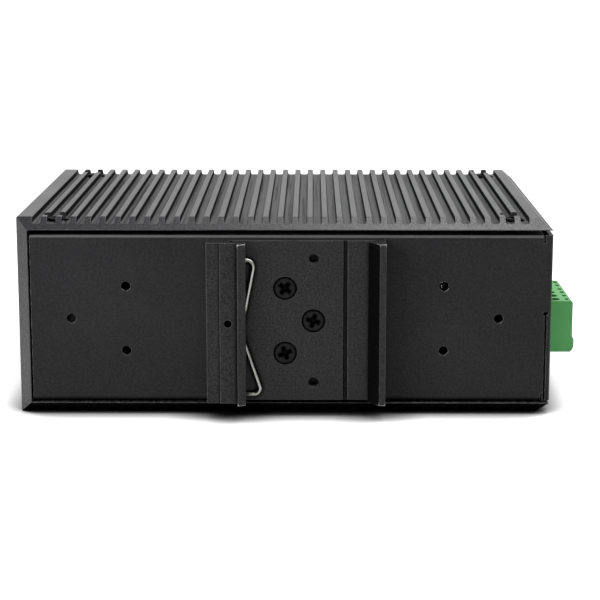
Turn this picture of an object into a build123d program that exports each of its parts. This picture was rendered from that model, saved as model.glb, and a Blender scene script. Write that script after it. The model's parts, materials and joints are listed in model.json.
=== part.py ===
"""Serial device server in a ribbed aluminium housing for a DIN rail, laid on its ribbed side.

X runs from the foot of the mounted unit to its head, where the power plug is. Y runs from the
rail side to the side with the ports. Z runs across the unit's width, up from the ribs it lies on.
Everything is drawn about the housing's middle in X and its rail-side rim in Y, and is moved to
the middle of the whole outline when it is written.
"""

import os

from build123d import *

# How far each cutter runs past the face that it opens
THROUGH = 1.0

# Ribbed housing
CASE_LENGTH = 146.0
CASE_DEPTH = 106.1
CASE_WIDTH = 54.7
WALL = 3.3
EDGE_BEVEL = 3.1
HEAD_BEVEL = 3.4
FOOT_CORNER_RADIUS = 0.5
RIB_GROOVES = 34
GROOVE_ROW_SPARE = 13.0
GROOVE_WIDTH = 2.4
GROOVE_DEPTH = 1.75
GROOVE_FLOOR_RADIUS = 0.6
RIB_SHOULDER = 0.3
GROOVE_ROW_OFFSET = -0.9

# Folded chassis
SHEET = 1.2
BEND_RADIUS = 1.4
BEND_LEG = 2.2
PANEL_SETBACK = 0.3
CASE_GAP = 0.5
CASE_TOP_GAP = 1.4
HEAD_PROUD = 0.35
FLANGE_DEPTH = 14.0
FRONT_FLANGE_DEPTH = 26.0
FLANGE_END_GAP = 2.6
FLANGE_RELIEF = 0.4
SLIT_WIDTH = 0.5
SLIT_RELIEF_RADIUS = 0.65
SLIT_RISE = 1.4

# Cover screws
COVER_SCREW_END_GAP = 10.2
COVER_SCREW_BACK_INSET = 8.2
COVER_SCREW_FRONT_INSET = 6.8
COVER_POCKET_RADIUS = 3.5
COVER_POCKET_DEPTH = 2.2
PAN_HEAD_RADIUS = 2.8
PAN_HEAD_HEIGHT = 1.2
PAN_HEAD_BEVEL = 0.4
PAN_CROSS_WIDTH = 0.7
PAN_CROSS_LENGTH = 2.8
PAN_CROSS_DEPTH = 0.85
COVER_SCREW_LENGTH = 4.0
M3_RADIUS = 1.5
M3_CLEAR_RADIUS = 1.7

# Holes for wall brackets in the back panel
BRACKET_MID_X = 0.3
BRACKET_INNER_GAP = 43.5
BRACKET_OUTER_GAP = 58.5
BRACKET_SPREAD = 18.0
BRACKET_HOLE_RADIUS = 1.3

# Clip for the 35 mm rail
CLIP_END_GAP = 0.95
CLIP_LEFT = -20.8
CLIP_RIGHT = 27.6
CLIP_PLATE = 3.0
CLIP_BLOCK_HEIGHT = 7.3
CLIP_STEP = 0.4
CLIP_STEP_X = -17.2
CLIP_LIP_X = -10.2
CLIP_LIP_ROOT_X = -12.3
CLIP_LIP_HEIGHT = 10.4
CLIP_LIP_FALL = 1.4
CLIP_UNDERCUT_X = -14.6
CLIP_UNDERCUT = 2.5
CLIP_HOOK_FOOT_X = 22.9
CLIP_HOOK_SLOT = 2.0
CLIP_HOOK_HEIGHT = 9.4
CLIP_HOOK_TIP = 1.7
CLIP_GROOVE_X = 16.8
CLIP_GROOVE_WIDTH = 1.2
CLIP_GROOVE_DEPTH = 0.6
CLIP_SCREW_X = 0.4
CLIP_SCREW_ROW = 7.7
CLIP_SCREW_SPREAD = 18.0
CLIP_SPARE_INSET = 5.0
CLIP_SPARE_RADIUS = 1.1
CLIP_SPARE_SINK = 0.4
CLIP_HEAD_RADIUS = 3.0
CLIP_HEAD_HEIGHT = 1.5
CLIP_SCREW_LENGTH = 6.5
CLIP_CROSS_WIDTH = 0.9
CLIP_CROSS_LENGTH = 3.6
CLIP_CROSS_DEPTH = 1.1
CLIP_SCREW_TURNS = (20, 52, 74)
CLIP_PIN_HOLE_X = -15.0
CLIP_PIN_HOLE_RADIUS = 1.05
CLIP_PIN_HOLE_DEPTH = 2.0
COUNTERSINK_GAP = 0.3
SPRING_WIRE_RADIUS = 0.55
SPRING_LIFT = 0.12
SPRING_END_GAP = 0.3
SPRING_UPPER_X = 2.4
SPRING_UPPER_INSET = 5.25
SPRING_UPPER_RADIUS = 1.9
SPRING_BOW_X = -1.55
SPRING_BOW_DROP = 3.2
SPRING_BOW_RADIUS = 10.0
SPRING_LOWER_X = 4.4
SPRING_LOWER_INSET = 1.75
SPRING_LOWER_RADIUS = 1.7

# Main board
BOARD_THICKNESS = 1.6
STANDOFF_SHARE = 0.73
STANDOFF_FLATS = 5.0
STANDOFF_BORE_SHARE = 0.75
BOARD_SCREW_SHARE = 0.45
STANDOFF_END_GAP = 20.0
STANDOFF_BACK_INSET = 9.5
STANDOFF_FRONT_INSET = 22.5
BOARD_END_GAP = 2.0
BOARD_SIDE_GAP = 3.2
BOARD_BACK_GAP = 2.0
BOARD_FRONT_GAP = 4.6

# Power plug and its header
POLES = 6
POLE_PITCH = 5.08
PLUG_NEAR_Y = 17.0
PLUG_END_WALL = 0.25
PLUG_HEIGHT = 14.7
PLUG_REACH = 8.1
PLUG_LIP = 0.5
PLUG_LIP_LOW = 1.0
PLUG_LIP_HIGH = 4.6
PLUG_BODY_DEPTH = 10.0
PLUG_TONGUE_DEPTH = 7.6
PLUG_TONGUE_HEIGHT = 5.6
PLUG_TONGUE_LIFT = 1.6
PLUG_BEVEL = 0.5
PLUG_GAP = 0.5
TONGUE_GAP = 0.15
HEADER_HEIGHT = 8.6
HEADER_WALL = 1.2
HEADER_BACK_WALL = 2.0
HEADER_PANEL_GAP = 0.15
PIN_SIDE = 1.0
PIN_GAP = 0.12
PIN_TIP_SETBACK = 1.0
SCREW_HOLE_X = 5.3
SCREW_HOLE_RADIUS = 1.85
CLAMP_SCREW_RADIUS = 1.6
CLAMP_SCREW_HEAD = 1.8
CLAMP_SCREW_REACH = 1.7
CLAMP_HEAD_GAP = 0.15
CLAMP_SLOT_WIDTH = 0.6
CLAMP_SLOT_DEPTH = 0.8
CLAMP_LIFT = 3.6
CLAMP_WIDTH = 3.8
CLAMP_DEPTH = 4.6
CLAMP_HEIGHT = 6.0
CLAMP_WALL = 0.7
WIRE_ENTRY_WIDTH = 3.0
WIRE_ENTRY_HEIGHT = 3.4
TEST_SLOT_X = 1.5
TEST_SLOT_WIDTH = 1.0
TEST_SLOT_LENGTH = 2.4
TEST_SLOT_DEPTH = 3.0

# Ground screw on the head end
GROUND_Y = 76.0
GROUND_SCREW_RADIUS = 2.0
GROUND_HEAD_RADIUS = 3.9
GROUND_HEAD_HEIGHT = 2.4
GROUND_HEAD_BEVEL = 0.8
GROUND_CROSS_WIDTH = 1.0
GROUND_CROSS_LENGTH = 4.4
GROUND_CROSS_DEPTH = 1.7
GROUND_SCREW_LENGTH = 6.0
GROUND_WASHER_RADIUS = 4.5
GROUND_WASHER = 0.6

# Serial ports, in stacks of two
SERIAL_STACKS = 2
SERIAL_ROWS = 2
SERIAL_LIFT = 7.0
SERIAL_ROW_SPACING = 19.05
SHELL_FLANGE_LENGTH = 30.8
SHELL_FLANGE_HEIGHT = 12.5
SHELL_FLANGE = 1.0
SHELL_END_GAP = 6.45
SHELL_OUTER_HEIGHT = 9.3
SHELL_WALL = 0.5
SHELL_REACH = 6.0
SHELL_CORNER = 2.4
SHELL_SLANT = 1.6
SERIAL_CUT_GAP = 0.4
SERIAL_BODY_DEPTH = 16.0
SERIAL_WAIST_DEPTH = 8.0
CONTACT_PITCH_SHARE = 0.15475
CONTACT_ROW_SPACING = 2.84
CONTACT_RADIUS = 0.5
CONTACT_REACH = 5.2
CONTACT_ROOT = 2.0
JACK_END_GAP = 2.905
JACK_FLATS = 4.8
JACK_HEIGHT = 4.8
JACK_BORE_RADIUS = 1.3
JACK_BORE_DEPTH = 5.6
JACK_STUD_RADIUS = 1.42
JACK_STUD_LENGTH = 5.0

# Ethernet jacks
ETHERNET_JACKS = 2
ETHERNET_WIDTH = 15.8
ETHERNET_HEIGHT = 13.4
ETHERNET_LENGTH = 21.0
ETHERNET_SHIELD = 0.3
ETHERNET_PROUD = 0.5
ETHERNET_CUT_GAP = 0.3
SOCKET_WIDTH = 11.9
SOCKET_HEIGHT = 7.0
SOCKET_DEPTH = 13.0
SOCKET_FLOOR = 2.6
LATCH_WIDTH = 6.2
LATCH_HEIGHT = 1.6
LATCH_STEP_WIDTH = 3.4
LATCH_STEP_HEIGHT = 1.2
JACK_CONTACTS = 8
JACK_CONTACT_PITCH = 1.02
JACK_CONTACT_WIDTH = 0.4
JACK_CONTACT = 0.25
JACK_CONTACT_SETBACK = 2.5
JACK_CONTACT_FALL = 2.2

# Status lamps with their light pipes
LAMP_COLUMNS = 4
LAMP_PITCH = 4.6
LAMP_ROWS = 2
LAMP_ROW_SPACING = 5.0
LAMP_LIFT = 4.0
PIPE_RADIUS = 1.45
PIPE_GAP = 0.15
PIPE_BACK = 5.0
PIPE_ROW_STEP = 4.2
PIPE_LEG = 2.2
PIPE_BAR = 1.4
PIPE_BAR_LIFT = 0.6
LED_HEIGHT = 1.1
LED_SIDE = 1.8

# Reset switch
RESET_LIFT = 4.2
RESET_HOLE_RADIUS = 2.2
RESET_BUTTON_RADIUS = 1.7
RESET_BUTTON_EDGE = 0.4
RESET_RECESS = 0.5
RESET_GAP = 0.1
RESET_BORE_DEPTH = 2.6
RESET_TRAVEL = 0.5
RESET_BODY = 7.0
RESET_BODY_HEIGHT = 7.2
RESET_BODY_BEHIND_PANEL = 2.2

# Parts that stand on the board: name, x and y as shares of half the case's length and of its
# depth, then length, width and height
CHIPS = (
    ("processor_chip", -0.11, 0.433, 20.0, 20.0, 1.6),
    ("memory_chip", -0.465, 0.471, 10.0, 14.0, 1.1),
    ("flash_chip", -0.465, 0.32, 6.0, 8.0, 1.2),
    ("ethernet_chip", 0.233, 0.565, 12.0, 12.0, 1.2),
    ("network_transformer", 0.507, 0.565, 17.0, 12.0, 5.6),
    ("crystal_can", 0.11, 0.311, 11.0, 4.6, 3.4),
    ("power_converter", 0.603, 0.386, 12.0, 20.0, 9.0),
)
DIMPLE_INSET = 1.2
DIMPLE_RADIUS = 0.5
DIMPLE_DEPTH = 0.2
DRIVER_CHIPS = 4
DRIVER_FIRST_SHARE = -0.781
DRIVER_STEP_SHARE = 0.178
DRIVER_DEPTH_SHARE = 0.65
DRIVER_LENGTH = 7.6
DRIVER_WIDTH = 10.4
DRIVER_HEIGHT = 2.3
INDUCTOR_X = 0.301 * CASE_LENGTH / 2
INDUCTOR_Y = 0.207 * CASE_DEPTH
INDUCTOR_RADIUS = 6.2
INDUCTOR_HOLE_RADIUS = 2.0
INDUCTOR_HEIGHT = 7.0
CAPACITORS = 2
CAPACITOR_RADIUS = 5.0
CAPACITOR_HEIGHT = 16.0
CAPACITOR_X = 0.5 * CASE_LENGTH / 2
CAPACITOR_Y = 0.188 * CASE_DEPTH
CAPACITOR_STEP = 0.212 * CASE_LENGTH / 2
NECK_LIFT = 1.6
NECK_HEIGHT = 0.8
NECK_DEPTH = 0.4
RELAY_X = 0.78 * CASE_LENGTH / 2
RELAY_Y = 0.575 * CASE_DEPTH
RELAY_LENGTH = 7.6
RELAY_WIDTH = 15.0
RELAY_HEIGHT = 10.2

# Sizes and places worked out from the ones above
HALF_LENGTH = CASE_LENGTH / 2
BACK_FACE = PANEL_SETBACK
FRONT_FACE = CASE_DEPTH - PANEL_SETBACK
FRONT_INSIDE = FRONT_FACE - SHEET
SHEET_LEFT = -HALF_LENGTH + WALL + CASE_GAP
SHEET_BOTTOM = WALL + CASE_GAP
SHEET_TOP = CASE_WIDTH - WALL - CASE_TOP_GAP
MID_Z = (SHEET_BOTTOM + SHEET_TOP) / 2
HEAD_FACE = HALF_LENGTH + HEAD_PROUD
HEAD_INSIDE = HEAD_FACE - SHEET
FLANGE_RIGHT = HEAD_FACE - FLANGE_END_GAP
STACK_HEIGHT = SERIAL_LIFT + SERIAL_ROW_SPACING * (SERIAL_ROWS - 1) + SHELL_FLANGE_HEIGHT / 2
SPARE_HEIGHT = SHEET_TOP - SHEET_BOTTOM - 2 * SHEET - BOARD_THICKNESS - STACK_HEIGHT
STANDOFF_HEIGHT = STANDOFF_SHARE * SPARE_HEIGHT
BOARD_BOTTOM = SHEET_BOTTOM + SHEET + STANDOFF_HEIGHT
BOARD_TOP = BOARD_BOTTOM + BOARD_THICKNESS
BOARD_LEFT = SHEET_LEFT + BOARD_END_GAP
BOARD_RIGHT = HEAD_INSIDE - BOARD_SIDE_GAP
BOARD_BACK = BACK_FACE + SHEET + BOARD_BACK_GAP
BOARD_FRONT = FRONT_INSIDE - BOARD_FRONT_GAP
CLIP_FACE = BACK_FACE - CLIP_PLATE
CLIP_BOTTOM = SHEET_BOTTOM + CLIP_END_GAP
CLIP_TOP = SHEET_TOP - CLIP_END_GAP
PLUG_BOTTOM = BOARD_TOP
PLUG_TOP = PLUG_BOTTOM + PLUG_HEIGHT
PLUG_LENGTH = POLES * POLE_PITCH + 2 * PLUG_END_WALL
PLUG_FAR_Y = PLUG_NEAR_Y + PLUG_LENGTH
PLUG_FACE = HEAD_FACE + PLUG_REACH
PLUG_SHOULDER = PLUG_FACE - PLUG_BODY_DEPTH
TONGUE_TIP = PLUG_SHOULDER - PLUG_TONGUE_DEPTH
TONGUE_BOTTOM = PLUG_BOTTOM + PLUG_TONGUE_LIFT
TONGUE_TOP = TONGUE_BOTTOM + PLUG_TONGUE_HEIGHT
PIN_Z = TONGUE_BOTTOM + PLUG_TONGUE_HEIGHT / 2
HEADER_FRONT = PLUG_SHOULDER - HEADER_PANEL_GAP
HEADER_CAVITY_BACK = TONGUE_TIP - TONGUE_GAP
HEADER_BACK = HEADER_CAVITY_BACK - HEADER_BACK_WALL
CLAMP_X = PLUG_FACE - SCREW_HOLE_X
CLAMP_BOTTOM = PLUG_BOTTOM + CLAMP_LIFT
CLAMP_TOP = CLAMP_BOTTOM + CLAMP_HEIGHT
RESET_Z = BOARD_TOP + RESET_LIFT
RESET_BODY_FRONT = FRONT_INSIDE - RESET_BODY_BEHIND_PANEL
PORT_FACE = FRONT_FACE + JACK_HEIGHT
SHELL_OUTER_LENGTH = SHELL_FLANGE_LENGTH - 2 * SHELL_END_GAP
CONTACT_PITCH = CONTACT_PITCH_SHARE * SHELL_OUTER_LENGTH
JACK_SPACING = SHELL_FLANGE_LENGTH - 2 * JACK_END_GAP
ETHERNET_FACE = FRONT_FACE + ETHERNET_PROUD
SOCKET_BOTTOM = BOARD_TOP + SOCKET_FLOOR + LATCH_HEIGHT
LAMP_ROW_LENGTH = LAMP_PITCH * (LAMP_COLUMNS - 1) + 2 * PIPE_RADIUS
PORT_LENGTHS = (
    [SHELL_FLANGE_LENGTH] * SERIAL_STACKS
    + [ETHERNET_WIDTH] * ETHERNET_JACKS
    + [LAMP_ROW_LENGTH, RESET_BODY]
)
PORT_GAP = (HEAD_INSIDE - SHEET_LEFT - sum(PORT_LENGTHS)) / (len(PORT_LENGTHS) + 1)

# Middle of the whole outline, which becomes the origin
OUTLINE_RIGHT = PLUG_FACE + PLUG_LIP
OUTLINE_NEAR = BACK_FACE - CLIP_LIP_HEIGHT
OUTLINE_FAR = max(PORT_FACE, FRONT_FACE - SHEET + SHELL_REACH)
ORIGIN = Pos(
    (HALF_LENGTH - OUTLINE_RIGHT) / 2,
    -(OUTLINE_NEAR + OUTLINE_FAR) / 2,
    0,
)


def port_middle(index):
    """X of the middle of one thing in the row along the front, with equal gaps between them."""
    return SHEET_LEFT + PORT_GAP * (index + 1) + sum(PORT_LENGTHS[:index]) + PORT_LENGTHS[index] / 2


LAMP_FIRST_X = port_middle(SERIAL_STACKS + ETHERNET_JACKS) - LAMP_PITCH * (LAMP_COLUMNS - 1) / 2
RESET_X = port_middle(SERIAL_STACKS + ETHERNET_JACKS + 1)


# Simple solids by their limits

def block(x0, x1, y0, y1, z0, z1):
    """A box between two corners."""
    middle = Pos((x0 + x1) / 2, (y0 + y1) / 2, (z0 + z1) / 2)
    return middle * Box(x1 - x0, y1 - y0, z1 - z0)


def rod_x(y, z, radius, x0, x1):
    """A round rod along X."""
    return Pos((x0 + x1) / 2, y, z) * Rot(0, 90, 0) * Cylinder(radius, x1 - x0)


def rod_y(x, z, radius, y0, y1):
    """A round rod along Y."""
    return Pos(x, (y0 + y1) / 2, z) * Rot(90, 0, 0) * Cylinder(radius, y1 - y0)


def rod_z(x, y, radius, z0, z1):
    """A round rod along Z."""
    return Pos(x, y, (z0 + z1) / 2) * Cylinder(radius, z1 - z0)


def hexagon_y(x, z, flats, y0, y1):
    """A hexagon bar along Y."""
    face = Plane.XZ.offset(-y0) * Pos(x, z) * RegularPolygon(flats / 2, 6, major_radius=False)
    return extrude(face, amount=-(y1 - y0))


def profile_along_y(points, y0, y1):
    """A closed outline of x and z points, carried from y0 to y1."""
    outline = make_face(Polyline(*points, close=True))
    return extrude(Plane.XZ.offset(-y0) * outline, amount=-(y1 - y0))


def profile_along_z(points, z0, z1):
    """A closed outline of x and y points, carried from z0 to z1."""
    outline = make_face(Polyline(*points, close=True))
    return extrude(Pos(0, 0, z0) * outline, amount=z1 - z0)


def profile_along_x(points, x0, x1):
    """A closed outline of y and z points, carried from x0 to x1."""
    outline = make_face(Polyline(*points, close=True))
    return extrude(Plane.YZ.offset(x0) * outline, amount=x1 - x0)


def cross_cut(width, length, depth):
    """A cross recess that opens at Z = 0 and goes down."""
    bar = Pos(0, 0, -depth / 2) * Box(length, width, depth)
    return bar + Rot(0, 0, 90) * bar


# Ribbed housing

def groove_places():
    """X of each groove's middle."""
    row = CASE_LENGTH - GROOVE_ROW_SPARE
    first = GROOVE_ROW_OFFSET - row / 2
    return [first + row * step / (RIB_GROOVES - 1) for step in range(RIB_GROOVES)]


def groove_cutter():
    """A groove's section with its mouth at Y = 0: round floor corners, and a flare that rounds the ribs."""
    half = GROOVE_WIDTH / 2
    wide = half + RIB_SHOULDER
    floor = -GROOVE_DEPTH
    bend = GROOVE_FLOOR_RADIUS
    left = [
        Line((-wide, THROUGH), (-wide, 0)),
        RadiusArc((-wide, 0), (-half, -RIB_SHOULDER), RIB_SHOULDER),
        Line((-half, -RIB_SHOULDER), (-half, floor + bend)),
        RadiusArc((-half, floor + bend), (-half + bend, floor), -bend),
    ]
    right = [mirror(edge, about=Plane.YZ) for edge in left]
    bottom = Line((-half + bend, floor), (half - bend, floor))
    top = Line((-wide, THROUGH), (wide, THROUGH))
    return make_face([*left, bottom, *right, top])


def housing_section():
    """U section with rounded ribs and grooves in both broad faces."""
    right = HALF_LENGTH
    half_u = (
        (-right, 0),
        (right - HEAD_BEVEL, 0),
        (right, EDGE_BEVEL),
        (right, WALL),
        (-right + WALL, WALL),
    )
    mirrored = [(x, CASE_WIDTH - z) for x, z in reversed(half_u)]
    section = make_face(Polyline(*half_u, *mirrored, close=True))
    section = fillet(section.vertices().group_by(Axis.X)[0], FOOT_CORNER_RADIUS)
    cutters = []
    for x in groove_places():
        cutters.append(Pos(x, CASE_WIDTH) * groove_cutter())
        cutters.append(Pos(x, 0) * Rot(0, 0, 180) * groove_cutter())
    return section - cutters


def rim_bevels():
    """Wedges that bevel the rims of the broad faces and of the foot end."""
    span = HALF_LENGTH + THROUGH
    bevel = EDGE_BEVEL
    wedges = []
    for rim, inward in ((0, 1), (CASE_DEPTH, -1)):
        for face, down in ((0, 1), (CASE_WIDTH, -1)):
            corner = [(rim, face + down * bevel), (rim + inward * bevel, face), (rim, face)]
            wedges.append(profile_along_x(corner, -span, span))
        foot = [
            (-HALF_LENGTH + bevel, rim),
            (-HALF_LENGTH, rim + inward * bevel),
            (-HALF_LENGTH, rim),
        ]
        wedges.append(profile_along_z(foot, -THROUGH, CASE_WIDTH + THROUGH))
    return wedges


def cover_screw_places():
    """X, Y, face height and inward direction of the eight cover screws."""
    places = []
    screw_x = HALF_LENGTH - COVER_SCREW_END_GAP
    for x in (-screw_x, screw_x):
        for y in (COVER_SCREW_BACK_INSET, CASE_DEPTH - COVER_SCREW_FRONT_INSET):
            places.append((x, y, 0, 1))
            places.append((x, y, CASE_WIDTH, -1))
    return places


def ribbed_housing():
    """Bent U cover with its grooves, bevelled rims and screw pockets."""
    body = extrude(Plane.XZ * housing_section(), amount=-CASE_DEPTH)
    cuts = rim_bevels()
    for x, y, face, inward in cover_screw_places():
        floor = face + inward * COVER_POCKET_DEPTH
        low, high = sorted((face - inward * THROUGH, floor))
        cuts.append(rod_z(x, y, COVER_POCKET_RADIUS, low, high))
        low, high = sorted((face, face + inward * (WALL + THROUGH)))
        cuts.append(rod_z(x, y, M3_CLEAR_RADIUS, low, high))
    return body - cuts


# Folded chassis

def chassis_walls():
    """Back, head and front walls from one folded strip, open at the foot."""
    length = HEAD_FACE - SHEET_LEFT
    depth = FRONT_FACE - BACK_FACE
    outer = block(SHEET_LEFT, HEAD_FACE, BACK_FACE, FRONT_FACE, SHEET_BOTTOM, SHEET_TOP)
    head_edges = outer.edges().filter_by(Axis.Z).sort_by(Axis.X)[-2:]
    outer = fillet(head_edges, BEND_RADIUS)
    inner = Pos(SHEET_LEFT + length / 2 - SHEET, BACK_FACE + depth / 2, CASE_WIDTH / 2) * Box(
        length, depth - 2 * SHEET, CASE_WIDTH
    )
    head_edges = inner.edges().filter_by(Axis.Z).sort_by(Axis.X)[-2:]
    inner = fillet(head_edges, BEND_RADIUS - SHEET)
    return outer - inner


def flange_strip(flange_depth):
    """Bend and flange along the lower rim of the back wall."""
    points = [
        (BACK_FACE, SHEET_BOTTOM + BEND_LEG),
        (BACK_FACE, SHEET_BOTTOM),
        (BACK_FACE + flange_depth, SHEET_BOTTOM),
        (BACK_FACE + flange_depth, SHEET_BOTTOM + SHEET),
        (BACK_FACE + SHEET, SHEET_BOTTOM + SHEET),
        (BACK_FACE + SHEET, SHEET_BOTTOM + BEND_LEG),
    ]
    strip = profile_along_x(points, SHEET_LEFT, FLANGE_RIGHT)
    rims = strip.edges().filter_by(Axis.X)
    outer_rim = rims.sort_by(lambda edge: edge.center().Y + edge.center().Z)[0]
    strip = fillet(outer_rim, BEND_RADIUS)
    inner_y = BACK_FACE + SHEET
    inner_z = SHEET_BOTTOM + SHEET
    inner_rim = strip.edges().filter_by(Axis.X).sort_by(
        lambda edge: abs(edge.center().Y - inner_y) + abs(edge.center().Z - inner_z)
    )[0]
    return fillet(inner_rim, BEND_RADIUS - SHEET)


def four_flanges():
    """The strip at both rims of the back and front walls."""
    low_back = flange_strip(FLANGE_DEPTH)
    low_front = mirror(flange_strip(FRONT_FLANGE_DEPTH), about=Plane.XZ.offset(-CASE_DEPTH / 2))
    middle = Plane.XY.offset(MID_Z)
    return [low_back, low_front, mirror(low_back, about=middle), mirror(low_front, about=middle)]


def flange_room():
    """What the bends take from the plain rims of the back and front walls."""
    rooms = []
    for low, high in (
        (SHEET_BOTTOM - THROUGH, SHEET_BOTTOM + BEND_LEG),
        (SHEET_TOP - BEND_LEG, SHEET_TOP + THROUGH),
    ):
        for near, far in ((BACK_FACE - THROUGH, BACK_FACE + SHEET), (FRONT_INSIDE, FRONT_FACE + THROUGH)):
            rooms.append(block(SHEET_LEFT - THROUGH, FLANGE_RIGHT + FLANGE_RELIEF, near, far, low, high))
    return rooms


def back_wall_cuts():
    """Bracket holes, clip holes, and the slit beside the head bend with its relief hole."""
    cuts = []
    near = BACK_FACE - THROUGH
    far = BACK_FACE + SHEET + THROUGH
    for side in (-1, 1):
        outer_x = BRACKET_MID_X + side * BRACKET_OUTER_GAP
        inner_x = BRACKET_MID_X + side * BRACKET_INNER_GAP
        cuts.append(rod_y(outer_x, MID_Z, BRACKET_HOLE_RADIUS, near, far))
        for rise in (-BRACKET_SPREAD / 2, BRACKET_SPREAD / 2):
            cuts.append(rod_y(inner_x, MID_Z + rise, BRACKET_HOLE_RADIUS, near, far))
    for x, z in clip_screw_places():
        cuts.append(rod_y(x, z, M3_RADIUS, near, far))
    slit_x = HEAD_FACE - BEND_RADIUS
    slit_top = MID_Z + SLIT_RISE
    cuts.append(block(slit_x - SLIT_WIDTH, slit_x, near, far, SHEET_BOTTOM - THROUGH, slit_top))
    cuts.append(rod_y(slit_x - SLIT_WIDTH / 2, slit_top, SLIT_RELIEF_RADIUS, near, far))
    return cuts


def head_wall_cuts():
    """Opening for the power plug and the tapped hole of the ground screw."""
    left = HEAD_INSIDE - THROUGH
    right = HEAD_FACE + THROUGH
    opening = block(
        left,
        right,
        PLUG_NEAR_Y - PLUG_GAP,
        PLUG_FAR_Y + PLUG_GAP,
        PLUG_BOTTOM - PLUG_GAP,
        PLUG_TOP + PLUG_GAP,
    )
    return [opening, rod_x(GROUND_Y, MID_Z, GROUND_SCREW_RADIUS, left, right)]


def front_wall_cuts():
    """Openings for the ports, lamps and reset button."""
    near = FRONT_INSIDE - THROUGH
    far = FRONT_FACE + THROUGH
    cuts = []
    for x, z in serial_places():
        length = SHELL_OUTER_LENGTH + 2 * SERIAL_CUT_GAP
        height = SHELL_OUTER_HEIGHT + 2 * SERIAL_CUT_GAP
        cuts.append(place_d(d_outline(length, height), x, z, near, far))
    for x, z in jack_screw_places():
        cuts.append(rod_y(x, z, M3_CLEAR_RADIUS, near, far))
    for x in ethernet_places():
        half = ETHERNET_WIDTH / 2 + ETHERNET_CUT_GAP
        top = BOARD_TOP + ETHERNET_HEIGHT + ETHERNET_CUT_GAP
        cuts.append(block(x - half, x + half, near, far, BOARD_TOP - ETHERNET_CUT_GAP, top))
    for x, z in lamp_places():
        cuts.append(rod_y(x, z, PIPE_RADIUS + PIPE_GAP, near, far))
    cuts.append(rod_y(RESET_X, RESET_Z, RESET_HOLE_RADIUS, near, far))
    return cuts


def flange_holes():
    """Tapped holes for the cover screws and for the standoff screws."""
    cuts = []
    for x, y, face, inward in cover_screw_places():
        sheet = SHEET_BOTTOM if inward > 0 else SHEET_TOP
        low, high = sorted((sheet - inward * THROUGH, sheet + inward * (SHEET + THROUGH)))
        cuts.append(rod_z(x, y, M3_RADIUS, low, high))
    for x, y in standoff_places():
        cuts.append(rod_z(x, y, M3_RADIUS, SHEET_BOTTOM - THROUGH, SHEET_BOTTOM + SHEET + THROUGH))
    return cuts


def folded_chassis():
    """The walls, their flanges and every hole in them, as one folded sheet."""
    walls = chassis_walls() - flange_room()
    sheet = walls + four_flanges()
    cuts = back_wall_cuts() + head_wall_cuts() + front_wall_cuts() + flange_holes()
    return sheet - cuts


def pan_screw(length):
    """Low round head with a cross recess, head up, its seat at Z = 0."""
    head = rod_z(0, 0, PAN_HEAD_RADIUS, 0, PAN_HEAD_HEIGHT)
    head = chamfer(head.edges().group_by(Axis.Z)[-1], PAN_HEAD_BEVEL)
    shank = rod_z(0, 0, M3_RADIUS, -length, 0)
    cross = cross_cut(PAN_CROSS_WIDTH, PAN_CROSS_LENGTH, PAN_CROSS_DEPTH)
    return head + shank - Pos(0, 0, PAN_HEAD_HEIGHT) * cross


def cover_screws():
    screws = []
    for x, y, face, inward in cover_screw_places():
        seat = face + inward * COVER_POCKET_DEPTH
        turn = Rot(0, 0, 0) if inward < 0 else Rot(180, 0, 0)
        screws.append(Pos(x, y, seat) * turn * pan_screw(COVER_SCREW_LENGTH))
    return screws


# Clip for the rail

def clip_screw_places():
    """X and Z of the three screws that hold the clip."""
    return [
        (CLIP_SCREW_X, MID_Z - CLIP_SCREW_SPREAD / 2),
        (CLIP_SCREW_X, MID_Z + CLIP_SCREW_SPREAD / 2),
        (CLIP_SCREW_X + CLIP_SCREW_ROW, MID_Z),
    ]


def clip_section():
    """Plate with an undercut lip at the foot side and an undercut hook at the head side."""
    back = BACK_FACE
    face = CLIP_FACE
    block_face = back - CLIP_BLOCK_HEIGHT
    lip_tip = back - CLIP_LIP_HEIGHT
    hook_tip = back - CLIP_HOOK_HEIGHT
    roof = face - CLIP_UNDERCUT
    hook_roof = face - CLIP_HOOK_SLOT
    groove_left = CLIP_GROOVE_X - CLIP_GROOVE_WIDTH / 2
    groove_right = CLIP_GROOVE_X + CLIP_GROOVE_WIDTH / 2
    groove_floor = face + CLIP_GROOVE_DEPTH
    return [
        (CLIP_LEFT, back),
        (CLIP_RIGHT, back),
        (CLIP_RIGHT, hook_tip),
        (CLIP_RIGHT - CLIP_HOOK_TIP, hook_tip),
        (CLIP_HOOK_FOOT_X, hook_roof),
        (CLIP_HOOK_FOOT_X + CLIP_HOOK_SLOT, hook_roof),
        (CLIP_HOOK_FOOT_X + CLIP_HOOK_SLOT, face),
        (groove_right, face),
        (groove_right, groove_floor),
        (groove_left, groove_floor),
        (groove_left, face),
        (CLIP_UNDERCUT_X, face),
        (CLIP_UNDERCUT_X, roof),
        (CLIP_LIP_X, roof),
        (CLIP_LIP_X, lip_tip + CLIP_LIP_FALL),
        (CLIP_LIP_ROOT_X, lip_tip),
        (CLIP_LIP_ROOT_X, block_face),
        (CLIP_STEP_X, block_face),
        (CLIP_STEP_X, block_face + CLIP_STEP),
        (CLIP_LEFT, block_face + CLIP_STEP),
    ]


def countersink(x, z, radius, hole_radius):
    """Countersunk hole through the clip's plate."""
    depth = radius - hole_radius
    cone = Pos(x, CLIP_FACE + depth / 2, z) * Rot(90, 0, 0) * Cone(hole_radius, radius, depth)
    hole = rod_y(x, z, hole_radius, CLIP_FACE - THROUGH, BACK_FACE + THROUGH)
    mouth = rod_y(x, z, radius, CLIP_FACE - THROUGH, CLIP_FACE)
    return [cone, hole, mouth]


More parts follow.
